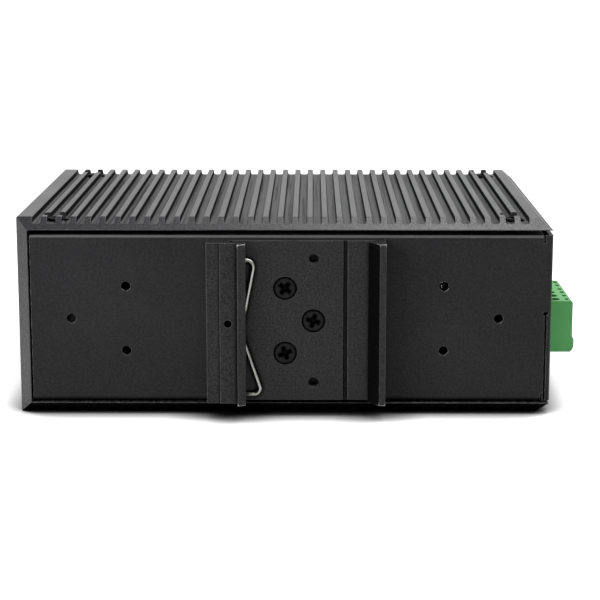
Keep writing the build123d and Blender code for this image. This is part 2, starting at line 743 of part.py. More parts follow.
def din_clip():
    """The clip's section, drilled for its screws, its spare holes and a locating pin."""
    clip = profile_along_z(clip_section(), CLIP_BOTTOM, CLIP_TOP)
    cuts = []
    for x, z in clip_screw_places():
        cuts += countersink(x, z, CLIP_HEAD_RADIUS + COUNTERSINK_GAP, M3_CLEAR_RADIUS)
    for z in (CLIP_BOTTOM + CLIP_SPARE_INSET, CLIP_TOP - CLIP_SPARE_INSET):
        x = CLIP_SCREW_X + CLIP_SCREW_ROW
        cuts += countersink(x, z, CLIP_SPARE_RADIUS + CLIP_SPARE_SINK, CLIP_SPARE_RADIUS)
    block_face = BACK_FACE - CLIP_BLOCK_HEIGHT
    cuts.append(
        rod_y(
            CLIP_PIN_HOLE_X,
            MID_Z,
            CLIP_PIN_HOLE_RADIUS,
            block_face - THROUGH,
            block_face + CLIP_PIN_HOLE_DEPTH,
        )
    )
    return clip - cuts


def clip_screw():
    """Flat countersunk head with a cross recess, head up, its top at Z = 0."""
    cone_height = CLIP_HEAD_HEIGHT - COUNTERSINK_GAP
    head = rod_z(0, 0, CLIP_HEAD_RADIUS, -COUNTERSINK_GAP, 0)
    cone = Cone(M3_RADIUS, CLIP_HEAD_RADIUS, cone_height)
    cone = Pos(0, 0, -COUNTERSINK_GAP - cone_height / 2) * cone
    shank = rod_z(0, 0, M3_RADIUS, -CLIP_SCREW_LENGTH, -CLIP_HEAD_HEIGHT)
    return head + cone + shank - cross_cut(CLIP_CROSS_WIDTH, CLIP_CROSS_LENGTH, CLIP_CROSS_DEPTH)


def clip_screws():
    """Three screws, each stopped at its own turn of the cross."""
    screws = []
    for (x, z), turn in zip(clip_screw_places(), CLIP_SCREW_TURNS):
        screws.append(Pos(x, CLIP_FACE, z) * Rot(90, 0, 0) * Rot(0, 0, turn) * clip_screw())
    return screws


def spring_route():
    """Points of the wire, from its upper hook through the bow to its lower hook."""
    hidden = CLIP_UNDERCUT_X + SPRING_WIRE_RADIUS + SPRING_END_GAP
    upper_z = CLIP_TOP - SPRING_UPPER_INSET
    lower_z = CLIP_BOTTOM + SPRING_LOWER_INSET
    return [
        (hidden, upper_z),
        (CLIP_LIP_X + SPRING_UPPER_X, upper_z),
        (CLIP_LIP_X + SPRING_BOW_X, MID_Z - SPRING_BOW_DROP),
        (CLIP_LIP_X + SPRING_LOWER_X, lower_z),
        (hidden, lower_z),
    ]


def clip_spring():
    """Round wire bent in one plane over the clip's face."""
    y = CLIP_FACE - SPRING_WIRE_RADIUS - SPRING_LIFT
    points = [Vector(x, y, z) for x, z in spring_route()]
    radii = [SPRING_UPPER_RADIUS, SPRING_BOW_RADIUS, SPRING_LOWER_RADIUS]
    path = FilletPolyline(*points, radius=radii)
    start = Plane(origin=path @ 0, z_dir=path % 0)
    return sweep(start * Circle(SPRING_WIRE_RADIUS), path=path)


# Main board and what carries it

def standoff_places():
    """X and Y of the four standoffs on the lower flanges."""
    reach = HALF_LENGTH - STANDOFF_END_GAP
    rows = (STANDOFF_BACK_INSET, CASE_DEPTH - STANDOFF_FRONT_INSET)
    return [(x, y) for y in rows for x in (-reach, reach)]


def main_board():
    """Bare board with its four screw holes."""
    board = block(BOARD_LEFT, BOARD_RIGHT, BOARD_BACK, BOARD_FRONT, BOARD_BOTTOM, BOARD_TOP)
    holes = []
    for x, y in standoff_places():
        holes.append(rod_z(x, y, M3_CLEAR_RADIUS, BOARD_BOTTOM - THROUGH, BOARD_TOP + THROUGH))
    return board - holes


def standoffs():
    """Hexagon posts riveted into the flanges and tapped for the board screws."""
    posts = []
    for x, y in standoff_places():
        base = SHEET_BOTTOM + SHEET
        hexagon = Pos(x, y, base) * RegularPolygon(STANDOFF_FLATS / 2, 6, major_radius=False)
        post = extrude(hexagon, amount=STANDOFF_HEIGHT)
        post += rod_z(x, y, M3_RADIUS, SHEET_BOTTOM, base)
        floor = BOARD_BOTTOM - STANDOFF_BORE_SHARE * STANDOFF_HEIGHT
        post -= rod_z(x, y, M3_RADIUS, floor, BOARD_BOTTOM + THROUGH)
        posts.append(post)
    return posts


def board_screws():
    """One screw down into each standoff."""
    length = BOARD_THICKNESS + BOARD_SCREW_SHARE * STANDOFF_HEIGHT
    return [Pos(x, y, BOARD_TOP) * pan_screw(length) for x, y in standoff_places()]


def chip(across, along, length, width, height):
    """A flat package on the board with a pin-one dimple, placed by its shares of the case."""
    top = BOARD_TOP + height
    left = across * HALF_LENGTH - length / 2
    back = along * CASE_DEPTH + width / 2
    body = block(left, left + length, back - width, back, BOARD_TOP, top)
    corner = (left + DIMPLE_INSET, back - DIMPLE_INSET)
    return body - rod_z(*corner, DIMPLE_RADIUS, top - DIMPLE_DEPTH, top + THROUGH)


def driver_chip(step):
    """One line driver of the row behind the serial ports."""
    across = DRIVER_FIRST_SHARE + DRIVER_STEP_SHARE * step
    return chip(across, DRIVER_DEPTH_SHARE, DRIVER_LENGTH, DRIVER_WIDTH, DRIVER_HEIGHT)


def supply_inductor():
    """Ring core on its flat side."""
    top = BOARD_TOP + INDUCTOR_HEIGHT
    ring = rod_z(INDUCTOR_X, INDUCTOR_Y, INDUCTOR_RADIUS, BOARD_TOP, top)
    return ring - rod_z(INDUCTOR_X, INDUCTOR_Y, INDUCTOR_HOLE_RADIUS, BOARD_TOP - THROUGH, top + THROUGH)


def supply_capacitor(step):
    """Round can with a crimped neck near its foot."""
    x = CAPACITOR_X + CAPACITOR_STEP * step
    can = rod_z(x, CAPACITOR_Y, CAPACITOR_RADIUS, BOARD_TOP, BOARD_TOP + CAPACITOR_HEIGHT)
    low = BOARD_TOP + NECK_LIFT
    high = low + NECK_HEIGHT
    neck = rod_z(x, CAPACITOR_Y, CAPACITOR_RADIUS + THROUGH, low, high)
    core = rod_z(x, CAPACITOR_Y, CAPACITOR_RADIUS - NECK_DEPTH, low, high)
    return can - (neck - core)


def alarm_relay():
    """Sealed relay box beside the power header."""
    half_length = RELAY_LENGTH / 2
    half_width = RELAY_WIDTH / 2
    return block(
        RELAY_X - half_length,
        RELAY_X + half_length,
        RELAY_Y - half_width,
        RELAY_Y + half_width,
        BOARD_TOP,
        BOARD_TOP + RELAY_HEIGHT,
    )


# Power plug and header

def pole_places():
    """Y of each pole."""
    first = PLUG_NEAR_Y + PLUG_END_WALL + POLE_PITCH / 2
    return [first + POLE_PITCH * step for step in range(POLES)]


def terminal_header():
    """Open-mouthed housing on the board that the plug's tongue goes into."""
    near = PLUG_NEAR_Y - HEADER_WALL
    far = PLUG_FAR_Y + HEADER_WALL
    shell = block(HEADER_BACK, HEADER_FRONT, near, far, BOARD_TOP, BOARD_TOP + HEADER_HEIGHT)
    cavity = block(
        HEADER_CAVITY_BACK,
        HEADER_FRONT + THROUGH,
        PLUG_NEAR_Y - TONGUE_GAP,
        PLUG_FAR_Y + TONGUE_GAP,
        TONGUE_BOTTOM - TONGUE_GAP,
        TONGUE_TOP + TONGUE_GAP,
    )
    half = PIN_SIDE / 2
    cuts = [cavity]
    for y in pole_places():
        back = HEADER_BACK - THROUGH
        front = HEADER_CAVITY_BACK + THROUGH
        cuts.append(block(back, front, y - half, y + half, PIN_Z - half, PIN_Z + half))
    return shell - cuts


def terminal_pins():
    """Square pins bent down behind the header into the board."""
    half = PIN_SIDE / 2
    pins = []
    for y in pole_places():
        tip = HEADER_CAVITY_BACK + PLUG_TONGUE_DEPTH - PIN_TIP_SETBACK
        bar = block(HEADER_BACK - 2 * PIN_SIDE, tip, y - half, y + half, PIN_Z - half, PIN_Z + half)
        leg = block(
            HEADER_BACK - 2 * PIN_SIDE,
            HEADER_BACK - PIN_SIDE,
            y - half,
            y + half,
            BOARD_TOP,
            PIN_Z + half,
        )
        pins.append(bar + leg)
    return pins


def plug_body():
    """Plug outline in X and Z, with the wire funnel's lip low on its face."""
    top = PLUG_TOP
    lip_low = PLUG_BOTTOM + PLUG_LIP_LOW
    lip_high = PLUG_BOTTOM + PLUG_LIP_HIGH
    points = [
        (PLUG_SHOULDER, PLUG_BOTTOM),
        (PLUG_FACE - PLUG_BEVEL, PLUG_BOTTOM),
        (PLUG_FACE, PLUG_BOTTOM + PLUG_BEVEL),
        (PLUG_FACE + PLUG_LIP, lip_low + PLUG_LIP),
        (PLUG_FACE + PLUG_LIP, lip_high - 2 * PLUG_LIP),
        (PLUG_FACE, lip_high),
        (PLUG_FACE, top - PLUG_BEVEL),
        (PLUG_FACE - PLUG_BEVEL, top),
        (PLUG_SHOULDER, top),
        (PLUG_SHOULDER, TONGUE_TOP),
        (TONGUE_TIP, TONGUE_TOP),
        (TONGUE_TIP, TONGUE_BOTTOM),
        (PLUG_SHOULDER, TONGUE_BOTTOM),
    ]
    return profile_along_y(points, PLUG_NEAR_Y, PLUG_FAR_Y)


def clamp_room(y):
    """The clamp cage's outer box."""
    near = CLAMP_X - CLAMP_DEPTH / 2
    half = CLAMP_WIDTH / 2
    return block(near, near + CLAMP_DEPTH, y - half, y + half, CLAMP_BOTTOM, CLAMP_TOP)


def wire_way(y, x0, x1):
    """The square way that a wire takes into its clamp."""
    half = WIRE_ENTRY_WIDTH / 2
    low = CLAMP_BOTTOM + CLAMP_WALL
    return block(x0, x1, y - half, y + half, low, low + WIRE_ENTRY_HEIGHT)


def terminal_plug():
    """The plug's body with its clamp rooms, wire ways, screw wells, test slots and pin ways."""
    body = plug_body()
    half = PIN_SIDE / 2 + PIN_GAP
    cuts = []
    for y in pole_places():
        cuts.append(clamp_room(y))
        cuts.append(wire_way(y, CLAMP_X, PLUG_FACE + PLUG_LIP + THROUGH))
        cuts.append(rod_z(CLAMP_X, y, SCREW_HOLE_RADIUS, CLAMP_TOP, PLUG_TOP + THROUGH))
        slot_x = PLUG_FACE - TEST_SLOT_X
        cuts.append(
            block(
                slot_x - TEST_SLOT_WIDTH / 2,
                slot_x + TEST_SLOT_WIDTH / 2,
                y - TEST_SLOT_LENGTH / 2,
                y + TEST_SLOT_LENGTH / 2,
                PLUG_TOP - TEST_SLOT_DEPTH,
                PLUG_TOP + THROUGH,
            )
        )
        pin_end = TONGUE_TIP + PLUG_TONGUE_DEPTH
        pin_start = TONGUE_TIP - THROUGH
        cuts.append(block(pin_start, pin_end, y - half, y + half, PIN_Z - half, PIN_Z + half))
    return body - cuts


def terminal_clamps():
    """Square cages that close on the wires, each tapped for its screw."""
    cages = []
    for y in pole_places():
        roof = CLAMP_BOTTOM + CLAMP_WALL + WIRE_ENTRY_HEIGHT
        cage = clamp_room(y)
        cage -= wire_way(y, CLAMP_X - CLAMP_DEPTH, CLAMP_X + CLAMP_DEPTH)
        cage -= rod_z(CLAMP_X, y, CLAMP_SCREW_RADIUS, roof - THROUGH, CLAMP_TOP + THROUGH)
        cages.append(cage)
    return cages


def terminal_screws():
    """Slotted clamp screws in their wells."""
    screws = []
    for y in pole_places():
        head_top = CLAMP_TOP + CLAMP_SCREW_HEAD
        head = rod_z(CLAMP_X, y, SCREW_HOLE_RADIUS - CLAMP_HEAD_GAP, CLAMP_TOP, head_top)
        shank = rod_z(CLAMP_X, y, CLAMP_SCREW_RADIUS, CLAMP_TOP - CLAMP_SCREW_REACH, CLAMP_TOP)
        slot = block(
            CLAMP_X - SCREW_HOLE_RADIUS,
            CLAMP_X + SCREW_HOLE_RADIUS,
            y - CLAMP_SLOT_WIDTH / 2,
            y + CLAMP_SLOT_WIDTH / 2,
            head_top - CLAMP_SLOT_DEPTH,
            head_top + THROUGH,
        )
        screws.append(head + shank - slot)
    return screws


# Ground screw

def ground_washer():
    """Flat ring between the head wall and the screw's head."""
    seat = HEAD_FACE + GROUND_WASHER
    washer = rod_x(GROUND_Y, MID_Z, GROUND_WASHER_RADIUS, HEAD_FACE, seat)
    return washer - rod_x(GROUND_Y, MID_Z, GROUND_SCREW_RADIUS, HEAD_FACE - THROUGH, seat + THROUGH)


def ground_screw():
    """Round head with a cross recess, screwed into the head wall."""
    seat = HEAD_FACE + GROUND_WASHER
    top = seat + GROUND_HEAD_HEIGHT
    head = rod_x(GROUND_Y, MID_Z, GROUND_HEAD_RADIUS, seat, top)
    head = chamfer(head.edges().group_by(Axis.X)[-1], GROUND_HEAD_BEVEL)
    shank = rod_x(GROUND_Y, MID_Z, GROUND_SCREW_RADIUS, seat - GROUND_SCREW_LENGTH, seat)
    cross = cross_cut(GROUND_CROSS_WIDTH, GROUND_CROSS_LENGTH, GROUND_CROSS_DEPTH)
    return head + shank - Pos(top, GROUND_Y, MID_Z) * Rot(0, 90, 0) * cross


# Serial ports

def serial_places():
    """X and Z of each port's middle, stack by stack from the foot end."""
    places = []
    for stack in range(SERIAL_STACKS):
        for row in range(SERIAL_ROWS):
            places.append((port_middle(stack), BOARD_TOP + SERIAL_LIFT + SERIAL_ROW_SPACING * row))
    return places


def jack_screw_places():
    """X and Z of the hexagon screws, one each side of every port."""
    return [(x + side * JACK_SPACING / 2, z) for x, z in serial_places() for side in (-1, 1)]


def d_outline(length, height):
    """D outline with slanted ends, wide side up."""
    half = length / 2
    rise = height / 2
    foot = half - SHELL_SLANT
    corners = [(-half, rise), (half, rise), (foot, -rise), (-foot, -rise)]
    outline = make_face(Polyline(*corners, close=True))
    return fillet(outline.vertices(), SHELL_CORNER)


def place_d(outline, x, z, y0, y1):
    """Carry a D outline from y0 to y1 about x and z."""
    return extrude(Plane.XZ.offset(-y0) * Pos(x, z) * outline, amount=-(y1 - y0))


def serial_shell(x, z):
    """Flange and hollow D nose pressed from one sheet."""
    back = FRONT_INSIDE - SHELL_FLANGE
    half_length = SHELL_FLANGE_LENGTH / 2
    half_height = SHELL_FLANGE_HEIGHT / 2
    left = x - half_length
    right = x + half_length
    flange = block(left, right, back, FRONT_INSIDE, z - half_height, z + half_height)
    nose = place_d(d_outline(SHELL_OUTER_LENGTH, SHELL_OUTER_HEIGHT), x, z, back, back + SHELL_REACH)
    inner = d_outline(SHELL_OUTER_LENGTH - 2 * SHELL_WALL, SHELL_OUTER_HEIGHT - 2 * SHELL_WALL)
    cuts = [place_d(inner, x, z, back - THROUGH, back + SHELL_REACH + THROUGH)]
    for side in (-1, 1):
        screw_x = x + side * JACK_SPACING / 2
        cuts.append(rod_y(screw_x, z, M3_CLEAR_RADIUS, back - THROUGH, FRONT_INSIDE + THROUGH))
    return flange + nose - cuts


def contact_places(x, z):
    """X and Z of the nine contacts: five above, four below."""
    places = []
    for row, count in ((1, 5), (-1, 4)):
        for step in range(count):
            offset = (step - (count - 1) / 2) * CONTACT_PITCH
            places.append((x + offset, z + row * CONTACT_ROW_SPACING / 2))
    return places


def serial_body(stack):
    """Moulded body that carries both ports of a stack and stands on the board."""
    x = port_middle(stack)
    front = FRONT_INSIDE - SHELL_FLANGE
    top = BOARD_TOP + STACK_HEIGHT
    half = SHELL_FLANGE_LENGTH / 2
    body = block(x - half, x + half, front - SERIAL_BODY_DEPTH, front, BOARD_TOP, top)
    waist = SERIAL_ROW_SPACING - SHELL_FLANGE_HEIGHT
    gap_low = BOARD_TOP + SERIAL_LIFT + SHELL_FLANGE_HEIGHT / 2
    waist_back = front - SERIAL_WAIST_DEPTH
    left = x - half - THROUGH
    right = x + half + THROUGH
    cuts = [block(left, right, waist_back, front + THROUGH, gap_low, gap_low + waist)]
    front_gap = block(
        left,
        right,
        BOARD_FRONT,
        front + THROUGH,
        BOARD_BOTTOM,
        BOARD_TOP + SERIAL_LIFT - SHELL_FLANGE_HEIGHT / 2,
    )
    cuts.append(front_gap)
    for port_x, port_z in serial_places()[SERIAL_ROWS * stack : SERIAL_ROWS * (stack + 1)]:
        for side in (-1, 1):
            screw_x = port_x + side * JACK_SPACING / 2
            back = front - JACK_STUD_LENGTH
            cuts.append(rod_y(screw_x, port_z, M3_CLEAR_RADIUS, back, front + THROUGH))
        for contact_x, contact_z in contact_places(port_x, port_z):
            back = front - CONTACT_ROOT
            cuts.append(rod_y(contact_x, contact_z, CONTACT_RADIUS, back, front + THROUGH))
    return body - cuts


def serial_pins(x, z):
    """Nine round contacts rooted in the moulded body."""
    root = FRONT_INSIDE - SHELL_FLANGE - CONTACT_ROOT
    tip = FRONT_INSIDE - SHELL_FLANGE + CONTACT_REACH
    places = contact_places(x, z)
    return [rod_y(contact_x, contact_z, CONTACT_RADIUS, root, tip) for contact_x, contact_z in places]


def jack_screws():
    """Hexagon screws that hold the shells and take the cable's thumbscrews."""
    screws = []
    for x, z in jack_screw_places():
        head = hexagon_y(x, z, JACK_FLATS, FRONT_FACE, PORT_FACE)
        stud = rod_y(x, z, JACK_STUD_RADIUS, FRONT_FACE - JACK_STUD_LENGTH, FRONT_FACE)
        bore = rod_y(x, z, JACK_BORE_RADIUS, PORT_FACE - JACK_BORE_DEPTH, PORT_FACE + THROUGH)
        screws.append(head + stud - bore)
    return screws


# Ethernet jacks

def ethernet_places():
    """X of each jack's middle."""
    return [port_middle(SERIAL_STACKS + step) for step in range(ETHERNET_JACKS)]


def ethernet_shield(x):
    """Folded shield, open below and at the mouth."""
    back = ETHERNET_FACE - ETHERNET_LENGTH
    half = ETHERNET_WIDTH / 2
    room = half - ETHERNET_SHIELD
    room_back = back + ETHERNET_SHIELD
    top = BOARD_TOP + ETHERNET_HEIGHT
    roof = top - ETHERNET_SHIELD
    shield = block(x - half, x + half, back, ETHERNET_FACE, BOARD_TOP, top)
    mouth = ETHERNET_FACE + THROUGH
    return shield - block(x - room, x + room, room_back, mouth, BOARD_TOP - THROUGH, roof)


def ethernet_insert(x):
    """Moulded socket with a latch way under its mouth."""
    back = ETHERNET_FACE - ETHERNET_LENGTH + ETHERNET_SHIELD
    half = ETHERNET_WIDTH / 2 - ETHERNET_SHIELD
    top = BOARD_TOP + ETHERNET_HEIGHT - ETHERNET_SHIELD
    insert = block(x - half, x + half, back, ETHERNET_FACE, BOARD_TOP, top)
    deep = ETHERNET_FACE - SOCKET_DEPTH
    mouth = ETHERNET_FACE + THROUGH
    cuts = []
    low = SOCKET_BOTTOM
    for width, height in (
        (SOCKET_WIDTH, SOCKET_HEIGHT),
        (LATCH_WIDTH, -LATCH_HEIGHT),
        (LATCH_STEP_WIDTH, -LATCH_HEIGHT - LATCH_STEP_HEIGHT),
    ):
        floor, roof = sorted((low, low + height))
        cuts.append(block(x - width / 2, x + width / 2, deep, mouth, floor, roof))
    return insert - cuts


def ethernet_contacts(x):
    """Eight sprung strips that slope from the socket's roof at its mouth to its back."""
    roof = SOCKET_BOTTOM + SOCKET_HEIGHT
    near = ETHERNET_FACE - JACK_CONTACT_SETBACK
    far = ETHERNET_FACE - SOCKET_DEPTH
    strips = []
    for step in range(JACK_CONTACTS):
        middle = x + (step - (JACK_CONTACTS - 1) / 2) * JACK_CONTACT_PITCH
        points = [
            (near, roof),
            (near, roof - JACK_CONTACT),
            (far, roof - JACK_CONTACT_FALL - JACK_CONTACT),
            (far, roof - JACK_CONTACT_FALL),
        ]
        half = JACK_CONTACT_WIDTH / 2
        strips.append(profile_along_x(points, middle - half, middle + half))
    return strips


# Lamps and light pipes

def lamp_places():
    """X and Z of each lamp's lens in the front wall."""
    places = []
    for column in range(LAMP_COLUMNS):
        for row in range(LAMP_ROWS):
            x = LAMP_FIRST_X + LAMP_PITCH * column
            places.append((x, BOARD_TOP + LAMP_LIFT + LAMP_ROW_SPACING * row))
    return places


def leg_y(row):
    """Y of the middle of a row's legs: the higher row's legs stand further back."""
    return BOARD_FRONT - PIPE_BACK + PIPE_ROW_STEP * (1 - row)


def light_pipes():
    """Clear rods that turn down to the lamps, joined by a bar across the back."""
    half = PIPE_LEG / 2
    foot = BOARD_TOP + LED_HEIGHT
    pieces = []
    for index, (x, z) in enumerate(lamp_places()):
        row = index % LAMP_ROWS
        middle = leg_y(row)
        pieces.append(rod_y(x, z, PIPE_RADIUS, middle, FRONT_FACE))
        pieces.append(block(x - half, x + half, middle - half, middle + half, foot, z + PIPE_RADIUS))
    left = LAMP_FIRST_X - half
    right = LAMP_FIRST_X + LAMP_PITCH * (LAMP_COLUMNS - 1) + half
    low = foot + PIPE_BAR_LIFT
    back = leg_y(LAMP_ROWS - 1) - half
    front = leg_y(0) + half
    bar = block(left, right, back, front, low, low + PIPE_BAR)
    whole = pieces[0]
    for piece in pieces[1:]:
        whole += piece
    return whole + bar


def status_leds():
    """One small lamp under each leg of the light pipes."""
    half = LED_SIDE / 2
    lamps = []
    for index, (x, z) in enumerate(lamp_places()):
        middle = leg_y(index % LAMP_ROWS)
        top = BOARD_TOP + LED_HEIGHT
        lamps.append(block(x - half, x + half, middle - half, middle + half, BOARD_TOP, top))
    return lamps


# Reset switch

def reset_switch():
    """Switch body on the board with the bore that its plunger slides in."""
    half = RESET_BODY / 2
    body = block(
        RESET_X - half,
        RESET_X + half,
        RESET_BODY_FRONT - RESET_BODY,
        RESET_BODY_FRONT,
        BOARD_TOP,
        BOARD_TOP + RESET_BODY_HEIGHT,
    )
    bore_floor = RESET_BODY_FRONT - RESET_BORE_DEPTH - RESET_TRAVEL - RESET_GAP
    bore_radius = RESET_BUTTON_RADIUS + RESET_GAP
    return body - rod_y(RESET_X, RESET_Z, bore_radius, bore_floor, RESET_BODY_FRONT + THROUGH)


def reset_button():
    """Round plunger whose end sits just below the front wall's face."""
    tip = FRONT_FACE - RESET_RECESS
    root = RESET_BODY_FRONT - RESET_BORE_DEPTH
    button = rod_y(RESET_X, RESET_Z, RESET_BUTTON_RADIUS, root, tip)
    return fillet(button.edges().group_by(Axis.Y)[-1], RESET_BUTTON_EDGE)


def nodes():
    """Every piece by its name."""
    pieces = {
        "ribbed_housing": ribbed_housing(),
        "folded_chassis": folded_chassis(),
        "cover_screws": cover_screws(),
        "din_clip": din_clip(),
        "clip_screws": clip_screws(),
        "clip_spring": clip_spring(),
        "main_board": main_board(),
        "standoffs": standoffs(),
        "board_screws": board_screws(),
        "supply_inductor": supply_inductor(),
        "alarm_relay": alarm_relay(),
        "terminal_header": terminal_header(),
        "terminal_pins": terminal_pins(),
        "terminal_plug": terminal_plug(),
        "terminal_clamps": terminal_clamps(),
        "terminal_screws": terminal_screws(),
        "ground_washer": ground_washer(),
        "ground_screw": ground_screw(),
        "jack_screws": jack_screws(),
        "light_pipes": light_pipes(),
        "status_leds": status_leds(),
        "reset_switch": reset_switch(),
        "reset_button": reset_button(),
    }
    for name, across, along, length, width, height in CHIPS:
        pieces[name] = chip(across, along, length, width, height)
    for step in range(DRIVER_CHIPS):
        pieces[f"serial_driver_{step + 1}"] = driver_chip(step)
    for step in range(CAPACITORS):
        pieces[f"supply_capacitor_{step + 1}"] = supply_capacitor(step)
    for stack in range(SERIAL_STACKS):
        pieces[f"serial_body_{stack + 1}"] = serial_body(stack)
    for number, (x, z) in enumerate(serial_places(), start=1):
        pieces[f"serial_shell_{number}"] = serial_shell(x, z)
        pieces[f"serial_pins_{number}"] = serial_pins(x, z)
    for number, x in enumerate(ethernet_places(), start=1):
        pieces[f"ethernet_shield_{number}"] = ethernet_shield(x)
        pieces[f"ethernet_insert_{number}"] = ethernet_insert(x)
        pieces[f"ethernet_contacts_{number}"] = ethernet_contacts(x)
    return pieces


def main():
    """Write each piece to its own file, about the middle of the outline."""
    os.makedirs("parts", exist_ok=True)
    for name, piece in nodes().items():
        shape = Compound(list(piece)) if isinstance(piece, list) else piece
        export_step(ORIGIN * shape, f"parts/{name}.step")


if __name__ == "__main__":
    main()
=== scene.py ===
"""Finish of a serial device server: coats, plating, moulded plastics, spring wire and threads.

The unit lies on one ribbed face. Its rail side faces the camera, and its ports face away.
"""

import json
import math

import bpy
import numpy as np
from bpy.props import FloatProperty, FloatVectorProperty, PointerProperty
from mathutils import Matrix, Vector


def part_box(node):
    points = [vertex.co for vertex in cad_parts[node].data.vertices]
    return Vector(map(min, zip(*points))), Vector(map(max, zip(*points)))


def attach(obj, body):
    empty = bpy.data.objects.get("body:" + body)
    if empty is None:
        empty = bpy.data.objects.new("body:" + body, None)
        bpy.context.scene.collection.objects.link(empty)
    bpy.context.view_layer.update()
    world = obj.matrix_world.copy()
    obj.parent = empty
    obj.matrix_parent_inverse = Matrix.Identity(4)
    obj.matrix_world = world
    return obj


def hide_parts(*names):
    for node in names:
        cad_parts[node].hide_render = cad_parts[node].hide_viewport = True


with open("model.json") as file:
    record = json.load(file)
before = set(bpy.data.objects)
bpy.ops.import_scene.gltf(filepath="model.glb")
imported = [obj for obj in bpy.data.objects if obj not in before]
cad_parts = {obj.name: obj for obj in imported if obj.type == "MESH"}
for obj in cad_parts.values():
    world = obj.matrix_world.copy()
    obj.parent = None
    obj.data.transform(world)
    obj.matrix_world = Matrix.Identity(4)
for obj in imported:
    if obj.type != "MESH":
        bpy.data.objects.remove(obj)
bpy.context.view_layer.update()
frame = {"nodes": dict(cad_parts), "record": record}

bl_info = {
    "name": "Serial device server finish",
    "version": (1, 0, 0),
    "blender": (4, 5, 0),
    "location": "3D view, sidebar, Device server",
    "description": "Dresses a ribbed serial device server and sets its stage",
    "category": "Object",
}

MM = 0.001

# Pieces that share a finish
SERIAL_SHELLS = [name for name in frame["nodes"] if name.startswith("serial_shell")]
SERIAL_BODIES = [name for name in frame["nodes"] if name.startswith("serial_body")]
SERIAL_PINS = [name for name in frame["nodes"] if name.startswith("serial_pins")]
NETWORK_SHIELDS = [name for name in frame["nodes"] if name.startswith("ethernet_shield")]
NETWORK_INSERTS = [name for name in frame["nodes"] if name.startswith("ethernet_insert")]
NETWORK_CONTACTS = [name for name in frame["nodes"] if name.startswith("ethernet_contacts")]
DRIVER_CHIPS = [name for name in frame["nodes"] if name.startswith("serial_driver")]
CHIPS = ["processor_chip", "ethernet_chip", "memory_chip", "flash_chip", *DRIVER_CHIPS]
CAPACITORS = [name for name in frame["nodes"] if name.startswith("supply_capacitor")]


def linear(code):
    """sRGB hex code to linear red, green, blue and alpha."""
    values = [int(code[start : start + 2], 16) / 255 for start in (1, 3, 5)]
    return [v / 12.92 if v <= 0.04045 else ((v + 0.055) / 1.055) ** 2.4 for v in values] + [1.0]


def colour_property(name, description, code):
    """A colour that a user may change."""
    return FloatVectorProperty(
        name=name, description=description, subtype="COLOR", size=4, min=0, max=1, default=linear(code)
    )


def length_property(name, description, millimetres):
    """A length in metres that a user may change."""
    return FloatProperty(
        name=name,
        description=description,
        default=millimetres * MM,
        min=0,
        precision=5,
        unit="LENGTH",
        subtype="DISTANCE",
    )


def share_property(name, description, value):
    """A share from 0 to 1 that a user may change."""
    return FloatProperty(name=name, description=description, default=value, min=0, max=1, subtype="FACTOR")


def radiance_property(name, description, value):
    """A lamp's radiance that a user may change."""
    return FloatProperty(name=name, description=description, default=value, min=0)


class CoatSettings(bpy.types.PropertyGroup):
    """Black coats of the housing, the folded sheet and the clip."""

    housing_colour: colour_property("Housing", "Coat of the ribbed housing", "#1b1b1d")
    housing_roughness: share_property("Housing roughness", "Roughness of the housing's coat", 0.36)
    housing_rub: share_property("Housing rub", "How far the coat is rubbed off the ribs' edges", 0.3)
    housing_grain: length_property("Housing grain", "Size of the coat's grain on the housing", 0.32)
    panel_colour: colour_property("Panel", "Powder coat of the folded sheet", "#1a1a1b")
    panel_roughness: share_property("Panel roughness", "Roughness of the powder coat", 0.42)
    panel_grain: length_property("Panel grain", "Size of the powder coat's grain", 0.55)
    clip_colour: colour_property("Clip", "Anodised colour of the rail clip", "#121213")
    clip_roughness: share_property("Clip roughness", "Roughness of the anodised clip", 0.5)
    edge_radius: length_property("Edge radius", "How round the coated edges look", 0.22)
    # Also the pale colour of the painted highlights on the chassis's upper bend and on the clip's edges
    bare_metal_and_painted_highlight: colour_property("Bare metal", "Aluminium where the coat is rubbed through", "#b9b9ba")


class MetalSettings(bpy.types.PropertyGroup):
    """Plated and bare metals."""

    wire_colour: colour_property("Spring wire", "Bright drawn spring steel", "#9a9995")
    nickel_colour: colour_property("Nickel plate", "Plated connector shells", "#bdb8ad")
    zinc_colour: colour_property("Zinc plate", "Zinc-plated screws and washer", "#b9bcbe")
    blackened_colour: colour_property("Blackened screws", "Black oxide on the case screws", "#0f0f10")
    gold_colour: colour_property("Gold flash", "Contacts with a gold flash", "#d9b46a")
    tin_colour: colour_property("Tin plate", "Tinned pins and clamp cages", "#cbcac6")


class PlasticSettings(bpy.types.PropertyGroup):
    """Moulded plastics and the board."""

    plug_colour: colour_property("Plug", "Green moulding of the power plug", "#409347")
    header_colour: colour_property("Header", "Green moulding of the board header", "#3c9248")
    plug_roughness: share_property("Plug roughness", "Roughness of the green moulding", 0.42)
    port_colour: colour_property("Port mouldings", "Black glass-filled moulding", "#18181a")
    board_colour: colour_property("Board", "Solder mask", "#10502c")
    package_colour: colour_property("Chip packages", "Black moulding compound", "#1c1c1e")
    relay_colour: colour_property("Relay case", "Sealed relay case", "#d3cfc2")
    pipe_colour: colour_property("Light pipes", "Smoked clear plastic", "#3c403f")
    button_colour: colour_property("Reset plunger", "Moulded plunger", "#55565a")


class WireSettings(bpy.types.PropertyGroup):
    """Wire of the clip's spring, and the jack screws' threads."""

    spring_diameter: length_property("Spring wire", "Diameter of the clip's spring wire", 1.1)
    thread_pitch: length_property("Thread pitch", "Pitch of the jack screws' inner thread", 0.635)
    thread_depth: length_property("Thread depth", "Depth of the jack screws' inner thread", 0.28)


